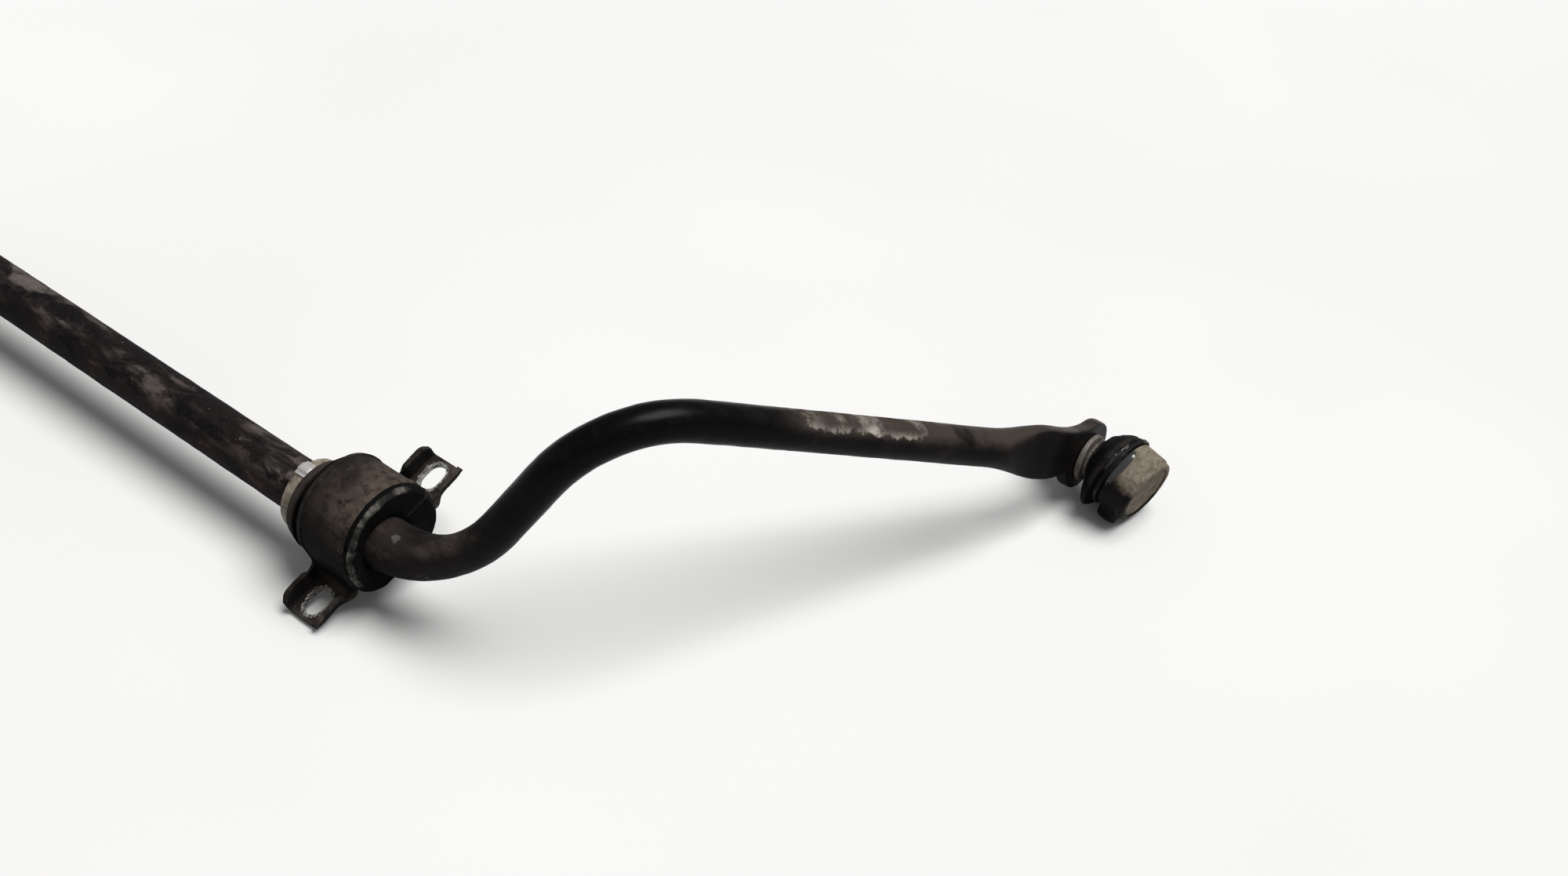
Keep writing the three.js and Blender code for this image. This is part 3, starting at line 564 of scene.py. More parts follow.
def bushing_rubber():
    """Matte black rubber with a dusty rim and pale dust in its slit."""
    paint = Paint("bushing_rubber", specular=0.04)
    clouds = paint.noise(8, rough=0.65, seed=1)
    fine = paint.noise(0.8, detail=4, rough=0.7, seed=2)
    cracks = paint.noise(4.5, rough=0.7, seed=3)
    paint.colour = paint.blend((clouds, 0.35, 0.7), (0.0012, 0.0012, 0.0013), (0.0036, 0.0033, 0.0032))
    paint.cover((0.006, 0.0055, 0.0052), (fine, 0.55, 0.8), 0.3)
    rim = paint.plus("rim", paint.times(paint.plus(clouds, cracks), 0.9))
    dust = paint.blend((clouds, 0.42, 0.62), (0.02, 0.0185, 0.0165), (0.085, 0.08, 0.07))
    paint.cover(dust, (rim, 1.35, 1.85))
    paint.cover((0.035, 0.034, 0.031), "slit", (cracks, 0.3, 0.5))
    paint.cover((0.026, 0.0215, 0.0185), "neck", (clouds, 0.25, 0.55))
    gloss = paint.level((clouds, 0.3, 0.7), 0.75, 0.92)
    return paint.finish(gloss, [(cracks, 0.25), (fine, 0.06)])


def collar_plastic():
    """Aged pale plastic, stained from its edges."""
    paint = Paint("collar_plastic", specular=0.3)
    clouds = paint.noise(7, seed=1)
    fine = paint.noise(0.9, detail=3, rough=0.7, seed=2)
    paint.colour = paint.blend((clouds, 0.35, 0.65), (0.075, 0.062, 0.045), (0.17, 0.145, 0.108))
    stains = paint.plus(clouds, paint.times("edge", -0.2))
    paint.cover((0.03, 0.0235, 0.017), (stains, 0.42, 0.3))
    paint.cover((0.22, 0.195, 0.155), (fine, 0.55, 0.8), 0.5)
    gloss = paint.level((clouds, 0.3, 0.7), 0.36, 0.62)
    return paint.finish(gloss, [(clouds, 0.2), (fine, 0.04)])


def plated_steel(name, bright, stained, stain_from, roughness, metallic):
    """Plated steel under stains and dust, brighter along its edges."""
    paint = Paint(name, specular=0.12)
    clouds = paint.noise(6, rough=0.65, seed=1)
    fine = paint.noise(0.6, detail=4, rough=0.7, seed=2)
    brushed = paint.noise(0.5, detail=2, rough=0.55, stretch=(6, 1, 1), seed=3)
    stain = paint.times((clouds, stain_from, stain_from + 0.14), paint.level("edge", 1.0, 0.35))
    paint.colour = paint.blend((fine, 0.3, 0.7), bright, [value * 0.7 for value in bright])
    paint.cover(stained, stain)
    # Painted shade: the concave creases are darkened.
    paint.cover([value * 0.3 for value in stained], "crevice_shade", 0.8)
    gloss = paint.level(stain, paint.level(brushed, roughness, roughness + 0.14), 0.8)
    metal = paint.level(stain, metallic, metallic * 0.15)
    return paint.finish(gloss, [(clouds, 0.12), (fine, 0.04)], metal)


def boot_rubber():
    """Black rubber with a band of grease and painted sheen under the fold, and a painted highlight
    round its crest.
    """
    paint = Paint("boot_rubber", specular=0.05)
    clouds = paint.noise(7, seed=1)
    fine = paint.noise(0.7, detail=4, rough=0.7, seed=2)
    paint.colour = paint.blend((clouds, 0.35, 0.65), (0.0013, 0.0012, 0.0013), (0.0033, 0.003, 0.003))
    paint.cover((0.006, 0.005, 0.0047), paint.upward(0.1, 0.9), (clouds, 0.38, 0.62), 0.45)
    # Painted highlight: a paler band round the crest of the fold.
    paint.cover((0.024, 0.02, 0.017), "crest", (clouds, 0.3, 0.55), 0.45)
    # Grease with a painted sheen: a lighter blue-grey band under the fold, with a clear coat over it.
    grease = paint.band(paint.plus("grease", paint.times(clouds, 0.5)), 0.7, 0.95)
    paint.cover((0.012, 0.0125, 0.013), grease)
    paint.wet(grease)
    gloss = paint.level(grease, paint.level((fine, 0.3, 0.7), 0.6, 0.78), 0.3)
    return paint.finish(gloss, [(clouds, 0.3), (fine, 0.05)])


def housing_zinc():
    """Cast housing under caked beige dust, with painted shade towards its underside and beside the
    boot, and grease with painted sheen and shade next to the boot.
    """
    paint = Paint("housing_zinc", specular=0.06)
    clouds = paint.noise(9, seed=1)
    caked = paint.noise(3.5, detail=6, rough=0.7, seed=2, distort=0.6)
    fine = paint.noise(0.7, detail=4, rough=0.75, seed=3)
    paint.colour = paint.blend((caked, 0.35, 0.65), (0.082, 0.068, 0.05), (0.155, 0.131, 0.102))
    paint.cover((0.21, 0.185, 0.15), (fine, 0.5, 0.8), 0.5)
    paint.cover((0.035, 0.028, 0.021), (fine, 0.42, 0.28), 0.5)
    # Painted shade: the concave creases are darkened.
    paint.cover((0.02, 0.016, 0.012), "crevice_shade", 0.85)
    paint.cover((0.2, 0.185, 0.165), "edge", (caked, 0.52, 0.62), 0.6)
    # Painted shade: darker towards the link's neck, which points down, and beside the boot; the same
    # mask lowers the roughness there.
    oil = paint.plus("oil", paint.times(paint.plus(clouds, -0.5), 0.9))
    oil = paint.band(oil, 0.2, 0.75)
    paint.cover((0.0045, 0.0036, 0.0034), oil)
    # Grease with painted shade and sheen: a dark blue-grey band beside the boot, with a clear coat
    # over it.
    grease = paint.band(paint.plus("grease", paint.times(caked, 0.7)), 0.68, 0.8)
    paint.cover((0.022, 0.0225, 0.023), grease)
    paint.wet(grease)
    return paint.finish(paint.level(oil, 0.88, 0.55), [(caked, 0.3), (fine, 0.1)])


def seat_plastic():
    """Clean white plastic, out of sight inside the housing."""
    paint = Paint("seat_plastic")
    clouds = paint.noise(5, detail=3, rough=0.55, seed=1)
    fine = paint.noise(0.8, detail=3, rough=0.55, seed=2)
    paint.colour = paint.blend((clouds, 0.3, 0.7), (0.42, 0.4, 0.35), (0.55, 0.53, 0.48))
    return paint.finish(paint.level(fine, 0.35, 0.5), [(fine, 0.03)])


def floor_paper():
    paint = Paint("floor_paper", roughness=0.9, specular=0.1)
    tone = paint.noise(400, detail=2, rough=0.55, seed=1)
    paint.colour = paint.blend((tone, 0.3, 0.7), (0.5, 0.497, 0.492), (0.52, 0.517, 0.512))
    return paint.finish()


# ---- stabiliser bar

# Points in a ring of the control mesh, and the share that subdivision leaves of its radius.
RING = 16
RING_SHRINK = (4 + 2 * cos(2 * pi / RING)) / 6
# Where the points lie across the blade's faces and edges, as shares of its half sizes.
FACE_SPREAD = (-1, -0.72, 0, 0.72, 1)
EDGE_SPREAD = (0.62, 0, -0.62)
RING_SPACING = 7
EYE_STEPS = 12


def arm_path():
    """Points of the centreline from the bar's middle to the eye, arcs at its corners."""
    corners = [Vector((-HALF_SPAN, 0, 0))]
    corners += [Vector(corner) for corner, _ in ARM_CORNERS]
    corners.append(ARM_END)
    path = [corners[0]]
    for i, (_, bend) in enumerate(ARM_CORNERS, start=1):
        back = (corners[i - 1] - corners[i]).normalized()
        ahead = (corners[i + 1] - corners[i]).normalized()
        half = back.angle(ahead) / 2
        centre = corners[i] + (back + ahead).normalized() * bend / sin(half)
        start = corners[i] + back * bend / tan(half) - centre
        end = corners[i] + ahead * bend / tan(half) - centre
        turn = start.angle(end)
        steps = ceil(turn * bend / 1.5)
        for k in range(steps + 1):
            path.append(Matrix.Rotation(turn * k / steps, 3, start.cross(end)) @ start + centre)
    path.append(corners[-1])
    return path


def evenly_spaced(path, stops):
    """Points on the path at the given distances from its start."""
    result = []
    done = 0
    i = 0
    for stop in stops:
        while i < len(path) - 2 and done + (path[i + 1] - path[i]).length < stop:
            done += (path[i + 1] - path[i]).length
            i += 1
        ahead = (path[i + 1] - path[i]).normalized()
        result.append(path[i] + ahead * (stop - done))
    return result


def blade_corners():
    """(thickness, width) shares of the points round the forged blade."""
    front = [(1, wide) for wide in FACE_SPREAD]
    upper = [(thin, 1.03) for thin in EDGE_SPREAD]
    return front + upper + [(-thin, -wide) for thin, wide in front + upper]


def bar_section(distance, total):
    """Points round the bar as (thin, wide) offsets from its centreline."""
    taper = ramp(distance - HALF_SPAN, TAPER_START, TAPER_END)
    radius = mix(BAR_RADIUS, ARM_RADIUS, taper) / RING_SHRINK
    flat = 1 - ramp(total - distance, BLADE_END, BLADE_START)
    neck = 1 - ramp(total - distance, NECK_AT, BLADE_END)
    width = mix(BLADE_WIDTH, BLADE_NECK, neck)
    section = []
    for i, (thin, wide) in enumerate(blade_corners()):
        angle = 2 * pi * (i - 2) / RING
        across = mix(radius * cos(angle), thin * BLADE_HALF, flat)
        section.append((across, mix(radius * sin(angle), wide * width, flat)))
    return section


def half_bar_cage():
    """Control mesh from the bar's middle to the eye, and each point's distance along it."""
    path = arm_path()
    total = sum((b - a).length for a, b in zip(path, path[1:]))
    last = total - BLADE_LAST
    count = round(last / RING_SPACING)
    stops = [last * i / count for i in range(count + 1)]
    centres = evenly_spaced(path, stops)
    tangents = []
    for i in range(count + 1):
        tangents.append((centres[min(i + 1, count)] - centres[max(i - 1, 0)]).normalized())
    thin = Vector((1, 0, 0))
    rings = []
    for i in range(count, -1, -1):
        if i < count:
            thin = tangents[i + 1].rotation_difference(tangents[i]) @ thin
        thin = (thin - tangents[i] * thin.dot(tangents[i])).normalized()
        wide = tangents[i].cross(thin)
        rings.insert(0, [centres[i] + thin * t + wide * w for t, w in bar_section(stops[i], total)])
    points = [point for ring in rings for point in ring]
    along = [stop for stop in stops for _ in range(RING)]
    faces = ring_faces(len(rings), RING, closed=False)
    add_eye(points, faces, (path[-2] - path[-1]).normalized())
    along += [total] * (len(points) - len(along))
    return points, faces, along


def eye_section(hole, rim):
    """(radius, depth) points round the eye's cross-section, and its two outer corners."""
    flats = (hole + 0.5, 0.62 * rim, rim - 1.7, rim - 0.25)
    front = [(hole, 0.6 * EYE_HALF)] + [(radius, EYE_HALF) for radius in flats]
    edge = [(rim + 0.1, EYE_HALF * share) for share in EDGE_SPREAD]
    back = [(radius, -depth) for radius, depth in reversed(front)]
    return front + edge + back, len(front) - 1, len(front) + len(edge)


def add_eye(points, faces, back):
    """Forged eye: a disc round a hole, whose rim opens into the last ring of the blade."""
    base = len(points)
    thin = Vector((1, 0, 0))
    wide = thin.cross(back)
    drop = (EYE_CENTRE - ARM_END).dot(wide)
    attached = [asin((BLADE_NECK * share - drop) / EYE_RADIUS) for share in FACE_SPREAD]
    free_turn = 2 * pi + attached[0] - attached[-1]
    free = [attached[-1] + free_turn * i / EYE_STEPS for i in range(1, EYE_STEPS)]
    hole, rim = EYE_HOLE / RING_SHRINK, EYE_RADIUS / RING_SHRINK
    section, near, far = eye_section(hole, rim)
    for angle in attached + free:
        out = back * cos(angle) + wide * sin(angle)
        pointed = 0.1 * hump(degrees(angle), 225, 26)
        for radius, depth in section:
            reach = radius * (1 + pointed * ramp(radius, hole, rim))
            points.append(EYE_CENTRE + out * reach + thin * depth)
    rows = len(section)
    last = len(attached) - 1
    for index, quad in enumerate(ring_faces(len(attached + free), rows, closed=True)):
        spoke, row = divmod(index, rows)
        if spoke >= last or not near <= row < far:
            faces.append(tuple(base + point for point in quad))
    edge = range(near + 1, far)
    loop = [spoke * rows + near for spoke in range(last + 1)]
    loop += [last * rows + row for row in edge]
    loop += [spoke * rows + far for spoke in range(last, -1, -1)]
    loop += reversed(edge)
    blade = base - RING
    for i in range(RING):
        nearby = (i + 1) % RING
        faces.append((blade + i, blade + nearby, base + loop[nearby], base + loop[i]))


def add_bar_masks(shape):
    """Masks for wear, dried mud and dust by distance along the bar, and for one pale spot."""
    masks = {"aged": [], "mud": [], "dusted": [], "spot": []}
    for vertex, station in zip(shape.vertices, shape.attributes["along"].data):
        distance = station.value
        past = distance - HALF_SPAN
        straight = (1 - 0.45 * ramp(past, 20, 60)) * (1 - 0.93 * ramp(past, 60, 130))
        end = ramp(distance, MUD_START - 5, MUD_START + 30)
        root = ramp(past, 5, 25) * (1 - ramp(past, 60, 110))
        muddy = ramp(distance, MUD_START, MUD_START + 22)
        muddy *= 1 - ramp(distance, MUD_END - 45, MUD_END)
        place = Vector((abs(vertex.co.x) - HALF_SPAN, vertex.co.y, vertex.co.z))
        masks["aged"].append(max(straight, 0.3 * end))
        masks["mud"].append(0.75 * muddy * ramp(vertex.normal.z, 0.1, 0.75))
        masks["dusted"].append(max(end, 0.45 * root))
        masks["spot"].append(max(1 - (place - SPOT).length / (2 * SPOT_RADIUS), 0))
    for name, values in masks.items():
        set_mask(shape, name, values)


def bar_shape():
    points, faces, along = half_bar_cage()
    to_middle = Vector((HALF_SPAN, 0, 0))
    mesh = raw_mesh([point + to_middle for point in points], faces)
    set_mask(mesh, "along", along)
    mirror = {"use_axis": (True, False, False), "merge_threshold": 0.01}
    shape = with_modifiers(tidied(mesh), ("MIRROR", mirror), ("SUBSURF", {"levels": 2}))
    add_bar_masks(shape)
    return shape


# ---- saddle bracket


def bracket_path():
    """Middle of the pressed sheet, seen along the bar: ear, bend, saddle, bend, ear."""
    middle = SADDLE_RADIUS - SHEET / 2
    bend = ROOT_BEND + SHEET / 2
    root = middle + bend
    low = SEAT + SHEET / 2
    path = [(-EAR_REACH, low)]
    path += arc(-root, low + bend, bend, -90, 0, 5)
    path += arc(0, 0, middle, 180, 0, 22)
    path += arc(root, low + bend, bend, 180, 270, 5)
    path.append((EAR_REACH, low))
    return dense(path, 3.2, closed=False)


def bracket_row(y, z, normal):
    """Points across the sheet at one place on its path, with a flange at each edge."""
    on_ear = ramp(abs(y), SADDLE_RADIUS - 1, SADDLE_RADIUS + ROOT_BEND + 4)
    on_ear *= 1 - ramp(z, SEAT + 5, SEAT + 18)
    rounding = 1 - ramp(EAR_REACH - abs(y), 0, 4) if on_ear > 0 else 0
    half = mix(SADDLE_HALF, EAR_HALF, on_ear) - 0.9 * rounding
    lean = mix(0.2, 1.1, on_ear)
    fillet = mix(1.8, 3.0, on_ear)
    edge = half - SHEET / 2 - lean
    flat = edge - fillet
    flanks = []
    for flange in (INBOARD_FLANGE, OUTBOARD_FLANGE):
        rise = mix(RIM_RISE, flange + SHEET / 2, on_ear) * (1 - 0.4 * rounding)
        upper = max(rise * 0.62, 0.8 * fillet) if rise > fillet else rise * 0.8
        flank = [(flat * 0.5, 0), (flat, 0), (flat + 0.62 * fillet, 0.14 * fillet)]
        flank.append((edge, min(0.75 * fillet, rise * 0.6)))
        flank += [(edge + lean * 0.5, upper), (edge + lean, rise)]
        flanks.append(flank)
    inboard, outboard = flanks
    full = [(-x, lift) for x, lift in reversed(inboard)] + [(0, 0)] + outboard
    return [Vector((x, y + normal.x * lift, z + normal.y * lift)) for x, lift in full]


def slot_cutter(direction):
    """Stadium through an ear, its long way along Y."""
    straight = SLOT_LENGTH / 2 - SLOT_HALF
    middle = direction * SLOT_SPACING / 2
    outline = arc(0, middle + straight, SLOT_HALF, 0, 180, 16)
    outline += arc(0, middle - straight, SLOT_HALF, 180, 360, 16)
    return lofted([[Vector((x, y, z)) for x, y in outline] for z in (SEAT - 4, SEAT + 8)])


def scrape_share(place):
    """How bare the ear's metal is: most beside a slot, and only on the flat face."""
    beyond = abs(abs(place.y) - SLOT_SPACING / 2) - SLOT_LENGTH / 2 + SLOT_HALF
    from_slot = hypot(place.x, max(beyond, 0)) - SLOT_HALF
    low = 1 - ramp(place.z, SEAT + SHEET + 0.5, SEAT + SHEET + 1.5)
    return low * (1 - ramp(from_slot, 0.2, 2.8))


def bracket_shape():
    path = [Vector(point) for point in bracket_path()]
    rows = []
    for i, place in enumerate(path):
        ahead = (path[min(i + 1, len(path) - 1)] - path[max(i - 1, 0)]).normalized()
        rows.append(bracket_row(*place, Vector((-ahead.y, ahead.x))))
    across = len(rows[0])
    starts = [row * across + i for row in range(len(rows) - 1) for i in range(across - 1)]
    faces = [(a, a + 1, a + 1 + across, a + across) for a in starts]
    creases = {f"edge_crease_{edge}": 0.55 for edge in ("inner", "outer", "rim")}
    thicken = {"thickness": SHEET, "offset": 0, "use_even_offset": True, **creases}
    sheet = raw_mesh([point for row in rows for point in row], faces)
    shape = tidied(with_modifiers(sheet, ("SOLIDIFY", thicken), ("SUBSURF", {"levels": 2})))
    for direction in (-1, 1):
        shape = combined(shape, slot_cutter(direction), "DIFFERENCE")
    add_edge_masks(shape)
    set_masks(shape, scrape=scrape_share, outboard=lambda place: ramp(place.x, -15, 9))
    shape.transform(Matrix.Translation((0, SADDLE_OFFSET, 0)))
    return shape


# ---- rubber bushing


def arch_radius(angle, radius, squareness):
    """Distance from the axis to the outline: round above, with a flat foot below."""
    across, down = abs(cos(angle)), -sin(angle)
    if down <= 0:
        return radius
    power = 14
    foot = min(FOOT, radius)
    sides = (across / radius, down / foot, (across + down) / (radius + foot - FOOT_CHAMFER))
    square = sum(side**power for side in sides) ** (-1 / power)
    return mix(radius, square, squareness)


def bushing_angles():
    """Angles round the bushing, with three close ones at the slit."""
    slit = radians(SLIT_ANGLE)
    close = radians(SLIT_SIDE)
    kept = [angle for angle in full_turn(144) if abs(angle - slit) > 1.6 * close]
    return sorted(kept + [slit - close, slit, slit + close])


def bushing_profile():
    """(x, radius) points from the bore, round the neck, body, lip and dished face."""
    body = BUSHING_RADIUS - 0.1
    outline = [
        (NECK_END, BUSHING_BORE, 0.2), (NECK_END, NECK_TIP, 0.9), (NECK_START, NECK_ROOT, 0.3),
        (NECK_START + 0.1, body, 0.8), (LIP_START - 0.1, body, 0.2), (LIP_START, LIP_RADIUS, 0.5),
        (LIP_FACE - 2.6, LIP_RADIUS, 1.6), (LIP_FACE, 26.0, 1.6), (LIP_FACE - 0.6, 22.5, 1.2),
        (LIP_FACE - 1.3, 17.4, 1.2), (LIP_FACE - 2.8, BUSHING_BORE, 1.0),
    ]
    return dense(rounded(outline), 1.6)


def rim_dust(place):
    """1 on the lip's outer edge, except at its lower front."""
    out, angle = polar(place.y - SADDLE_OFFSET, place.z)
    lip = ramp(out, 23.6, 27.4) * ramp(place.x, 18.6, 19.8)
    dusty = ramp(angle, 15, 50) if angle > -90 else ramp(-angle, 150, 175)
    return 0.85 * lip * dusty


def bushing_shape():
    angles = bushing_angles()
    rings = []
    for x, radius in bushing_profile():
        body = ramp(radius, 17, 24) if x > NECK_START + 0.05 else 0
        middle = Vector((0, SADDLE_OFFSET * body, 0))
        rings.append([middle + beside_axis(x, arch_radius(a, radius, body), a) for a in angles])
    mesh = lofted(rings, closed=True)
    set_masks(mesh, rim=rim_dust, neck=lambda place: 1 - ramp(place.x, -24, -20))
    slit_column = angles.index(radians(SLIT_ANGLE))
    from_slit = [abs(i % len(angles) - slit_column) for i in range(len(mesh.vertices))]
    set_mask(mesh, "slit", [max(0, 1 - columns / 2) for columns in from_slit])
    add_edge_masks(mesh)
    for vertex, columns in zip(mesh.vertices, from_slit):
        forward = SADDLE_OFFSET if vertex.co.x > LIP_START else 0
        out = hypot(vertex.co.y - forward, vertex.co.z)
        if columns == 0 and vertex.co.x > -27:
            vertex.co -= vertex.normal * SLIT_DEPTH
        angle = polar(vertex.co.y - forward, vertex.co.z)[1]
        for at, width, depth in LIP_DENTS:
            if vertex.co.x > 17 and out > 22:
                dent = depth * hump(angle, at, width)
                vertex.co.x -= 0.7 * dent
                vertex.co.y = forward + (vertex.co.y - forward) * (1 - dent / out)
                vertex.co.z *= 1 - dent / out
    return mesh


# ---- stop collar and its clip


def flat_ring(start, end, inner, outer, corners, steps=4):
    """Rounded outline of a plain ring; corners are those of its bore, start and end."""
    bore, first, last = corners
    outline = [(start, inner, bore), (start, outer, first), (end, outer, last), (end, inner, bore)]
    return rounded(outline, steps)


def collar_shape():
    corners = (0.3, 1.3, 1.3)
    outline = flat_ring(COLLAR_IN, COLLAR_OUT, BAR_RADIUS + 0.2, COLLAR_RADIUS, corners, steps=5)
    return turned(dense(outline, 1.2), 120)


def clip_shape():
    """Folded strip: a foot that follows the collar, a raised fold, and a turned end."""
    base = COLLAR_RADIUS + 0.25
    middle = (COLLAR_IN + COLLAR_OUT) / 2
    rise = [(-4.4, 0), (-2.9, 0), (-2.1, 0.5), (-1.5, CLIP_FOLD)]
    fall = [(1.4, CLIP_FOLD), (2.3, 0.45), (3.0, 0), (4.4, 0)]
    shares = [k / 3 for k in range(-3, 4)]
    rows = []
    for along, lift in through(rise + fall, closed=False):
        angle = pi / 2 - along / base
        layers = []
        for radius in (base + lift, base + lift + CLIP_SHEET):
            tucked = [(middle + CLIP_HALF * share, radius - 0.12 * share**4) for share in shares]
            layers.append([beside_axis(x, reach, angle) for x, reach in tucked])
        lower, upper = layers
        rows.append(lower + upper[::-1])
    bevel = {"width": 0.18, "segments": 2, "limit_method": "ANGLE"}
    return with_modifiers(lofted(rows), ("BEVEL", bevel))


# ---- end link joint


def thread_rings(start, end, segments):
    """Rings of the stud's thread, with a chamfer at its start."""
    depth = 0.62 * THREAD_PITCH
    count = int((end - start) / THREAD_PITCH * 8)
    rings = []
    for i in range(count + 1):
        x = mix(start, end, i / count)
        lead_in = mix(0.86, 1, ramp(x - start, -0.4, 1.3))
        run_out = ramp(end - x, 0, 2)
        groove_ring = []
        for angle in full_turn(segments):
            phase = (x / THREAD_PITCH + angle / (2 * pi)) % 1
            groove = depth * (1 - abs(2 * phase - 1)) * run_out
            groove_ring.append(beside_axis(x, (THREAD_RADIUS - groove) * lead_in, angle))
        rings.append(groove_ring)
    return rings


def stud_shape():
    """Threaded end, shank, flange, neck and ball."""
    segments = 64
    thread_end = NUT_FACE + 1
    rings = thread_rings(thread_end - THREAD_LENGTH - 0.7, thread_end, segments)
    neck_angle = asin(STUD_NECK / BALL_RADIUS)
    outline = [
        (thread_end + 0.2, THREAD_RADIUS, 0), (STUD_FLANGE, THREAD_RADIUS, 0.3),
        (STUD_FLANGE, STUD_FLANGE_RADIUS, 0.5), (STUD_FLANGE_END, STUD_FLANGE_RADIUS, 0.5),
        (STUD_FLANGE_END, 6.2, 0.6), (STUD_FLANGE_END + 4, STUD_NECK, 1.5),
        (-BALL_RADIUS * cos(neck_angle), STUD_NECK, 0),
    ]
    ball = arc(0, 0, BALL_RADIUS, 180 - degrees(neck_angle), 0, 20)
    rings += [ring(x, radius, segments) for x, radius in rounded(outline, closed=False) + ball[1:-1]]
    return lofted(rings)


def nut_shape():
    """Hexagon nut with a chamfered crown and a dished flange, from its face outwards."""
    across = NUT_ACROSS / 2
    corner = across / cos(pi / 6)
    bore = THREAD_RADIUS + 0.3
    profile = [
        (0, bore, 0), (0, NUT_FLANGE - 0.4, 0), (0.4, NUT_FLANGE, 0), (1.1, NUT_FLANGE, 0),
        (1.6, NUT_FLANGE - 0.3, 0), (2.1, NUT_FLANGE - 1.6, 0.5), (2.6, corner, 1), (5, corner, 1),
        (NUT_HEIGHT - 1.7, corner, 1), (NUT_HEIGHT - 1.2, corner - 0.1, 1),
        (NUT_HEIGHT - 0.6, across + 0.6, 1), (NUT_HEIGHT - 0.1, across - 0.1, 1),
        (NUT_HEIGHT, across - 0.5, 0), (NUT_HEIGHT, bore + 0.8, 0), (NUT_HEIGHT - 0.7, bore, 0),
    ]
    rings = []
    for out, radius, hexagonal in profile:
        edge = []
        for angle in full_turn(96):
            off_flat = (angle + pi / 6) % (pi / 3) - pi / 6
            reach = mix(radius, min(radius, across / cos(off_flat)), hexagonal)
            edge.append(beside_axis(NUT_FACE - out, reach, angle))
        rings.append(edge)
    return lofted(rings, closed=True)


def washer_shape():
    back = WASHER_FACE + WASHER_SHEET
    outline = flat_ring(WASHER_FACE, back, THREAD_RADIUS + 0.3, WASHER_RADIUS, (0.2, 0.5, 0.8))
    return turned(dense(outline, 1.5))


def boot_profile():
    """Closed outline: collar on the stud, domed fold with a curled rim, housing bead."""
    end = HOUSING_SHOULDER - 0.4
    outside = [(0, 10.0), (0.5, 10.7), (1.9, 10.7), (2.2, 11.5), (2.5, 13.6), (3.9, 18.0), (6.3, 21.4)]
    outside += [(9.0, BOOT_FOLD - 0.2), (11.0, BOOT_FOLD), (12.3, BOOT_FOLD - 0.7)]
    outside += [(12.6, BOOT_FOLD - 1.9), (12.7, BOOT_BEAD + 0.9), (13.5, BOOT_BEAD + 0.2)]
    outside.append((15.2, BOOT_BEAD))
    bead = [(end, BOOT_BEAD), (end, HOUSING_NECK + 0.3), (HOUSING_MOUTH - 0.6, HOUSING_NECK + 0.3)]
    inside = [(10.2, 19.6), (9.4, 20.9), (7.8, 20.2), (6.0, 17.6), (4.8, 13.0), (4.1, 9.2)]
    inside += [(2.0, 8.7), (0.2, 8.8)]
    start = STUD_FLANGE_END + 0.3
    outside, inside = [[(start + x, radius) for x, radius in side] for side in (outside, inside)]
    return through(outside + bead + inside)


def settle_boot(mesh):
    """Drops the fold towards the link's neck, then bends the boot to the leaning housing."""
    down = lean_axis().cross(Vector((1, 0, 0)))
    for vertex in mesh.vertices:
        out = hypot(vertex.co.y, vertex.co.z)
        past_stud = ramp(vertex.co.x, STUD_FLANGE_END + 2.6, STUD_FLANGE_END + 6.5)
        near_bead = ramp(vertex.co.x, HOUSING_MOUTH - 2.8, HOUSING_MOUTH - 0.8)
        in_bead = 1 - ramp(out, BOOT_BEAD + 0.4, BOOT_BEAD + 2.4)
        vertex.co += down * BOOT_SAG * past_stud * (1 - near_bead * in_bead)
        share = ramp(vertex.co.x, BOOT_BEND_START, BOOT_BEND_END)
        turn = Matrix.Rotation(share * radians(JOINT_TILT), 3, lean_axis())
        vertex.co = turn @ vertex.co


# Painted highlight round the crest of the fold.
def crest_highlight(place):
    out, _ = polar(place.y, place.z)
    return ramp(out, 22.2, 23.4) * ramp(place.x, -12.5, -10.6)


# Where the grease and its painted sheen lie, under the fold.
def grease_under_fold(place):
    out, angle = polar(place.y, place.z)
    under = ramp(place.x, -9.6, -8.9) * (1 - ramp(out, 22.0, 23.0))
    return under * hump(angle, 122, 34)


def boot_shape():
    mesh = turned(boot_profile(), 128)
    set_masks(mesh, crest=crest_highlight, grease=grease_under_fold)
    add_edge_masks(mesh)
    settle_boot(mesh)
    return mesh


def wire_ring_shape():
    return turned(arc(STUD_FLANGE_END + 1.5, RING_RADIUS, RING_WIRE, 0, 330, 11), 112)


def clamp_shape():
    """Flat band round the boot's bead."""
    start, end = HOUSING_MOUTH + 1.4, HOUSING_SHOULDER - 0.35
    corners = (0.2, 0.35, 0.35)
    return turned(flat_ring(start, end, CLAMP_INNER, CLAMP_OUTER, corners, steps=3), 128)


def stub_shape():
    """Neck of the link rod, flared at its root and sawn off square."""
    turn = Matrix.Rotation(radians(270 - LEAN_TURN), 3, "X")
    flare = [(16.6, 8.4), (19.4, 7.4), (20.2, 6.5), (21.2, 6.1), (23, 5.8)]
    sawn = [(24.3, 5.6), (24.65, 5.5), (24.8, 5.2)]
    rings = []
    for reach, radius in flare + sawn:
        circle = ring(reach, radius, 48)
        rings.append([turn @ Vector((STUB_SHIFT + point.y, reach, point.z)) for point in circle])
    return lofted(rings)


def towards_stub(place):
    """Cosine of the angle between a point's side of the housing and the link's neck."""
    turn = radians(LEAN_TURN)
    stub_way = Vector((0, -sin(turn), -cos(turn)))
    return Vector((0, place.y, place.z)).normalized().dot(stub_way)


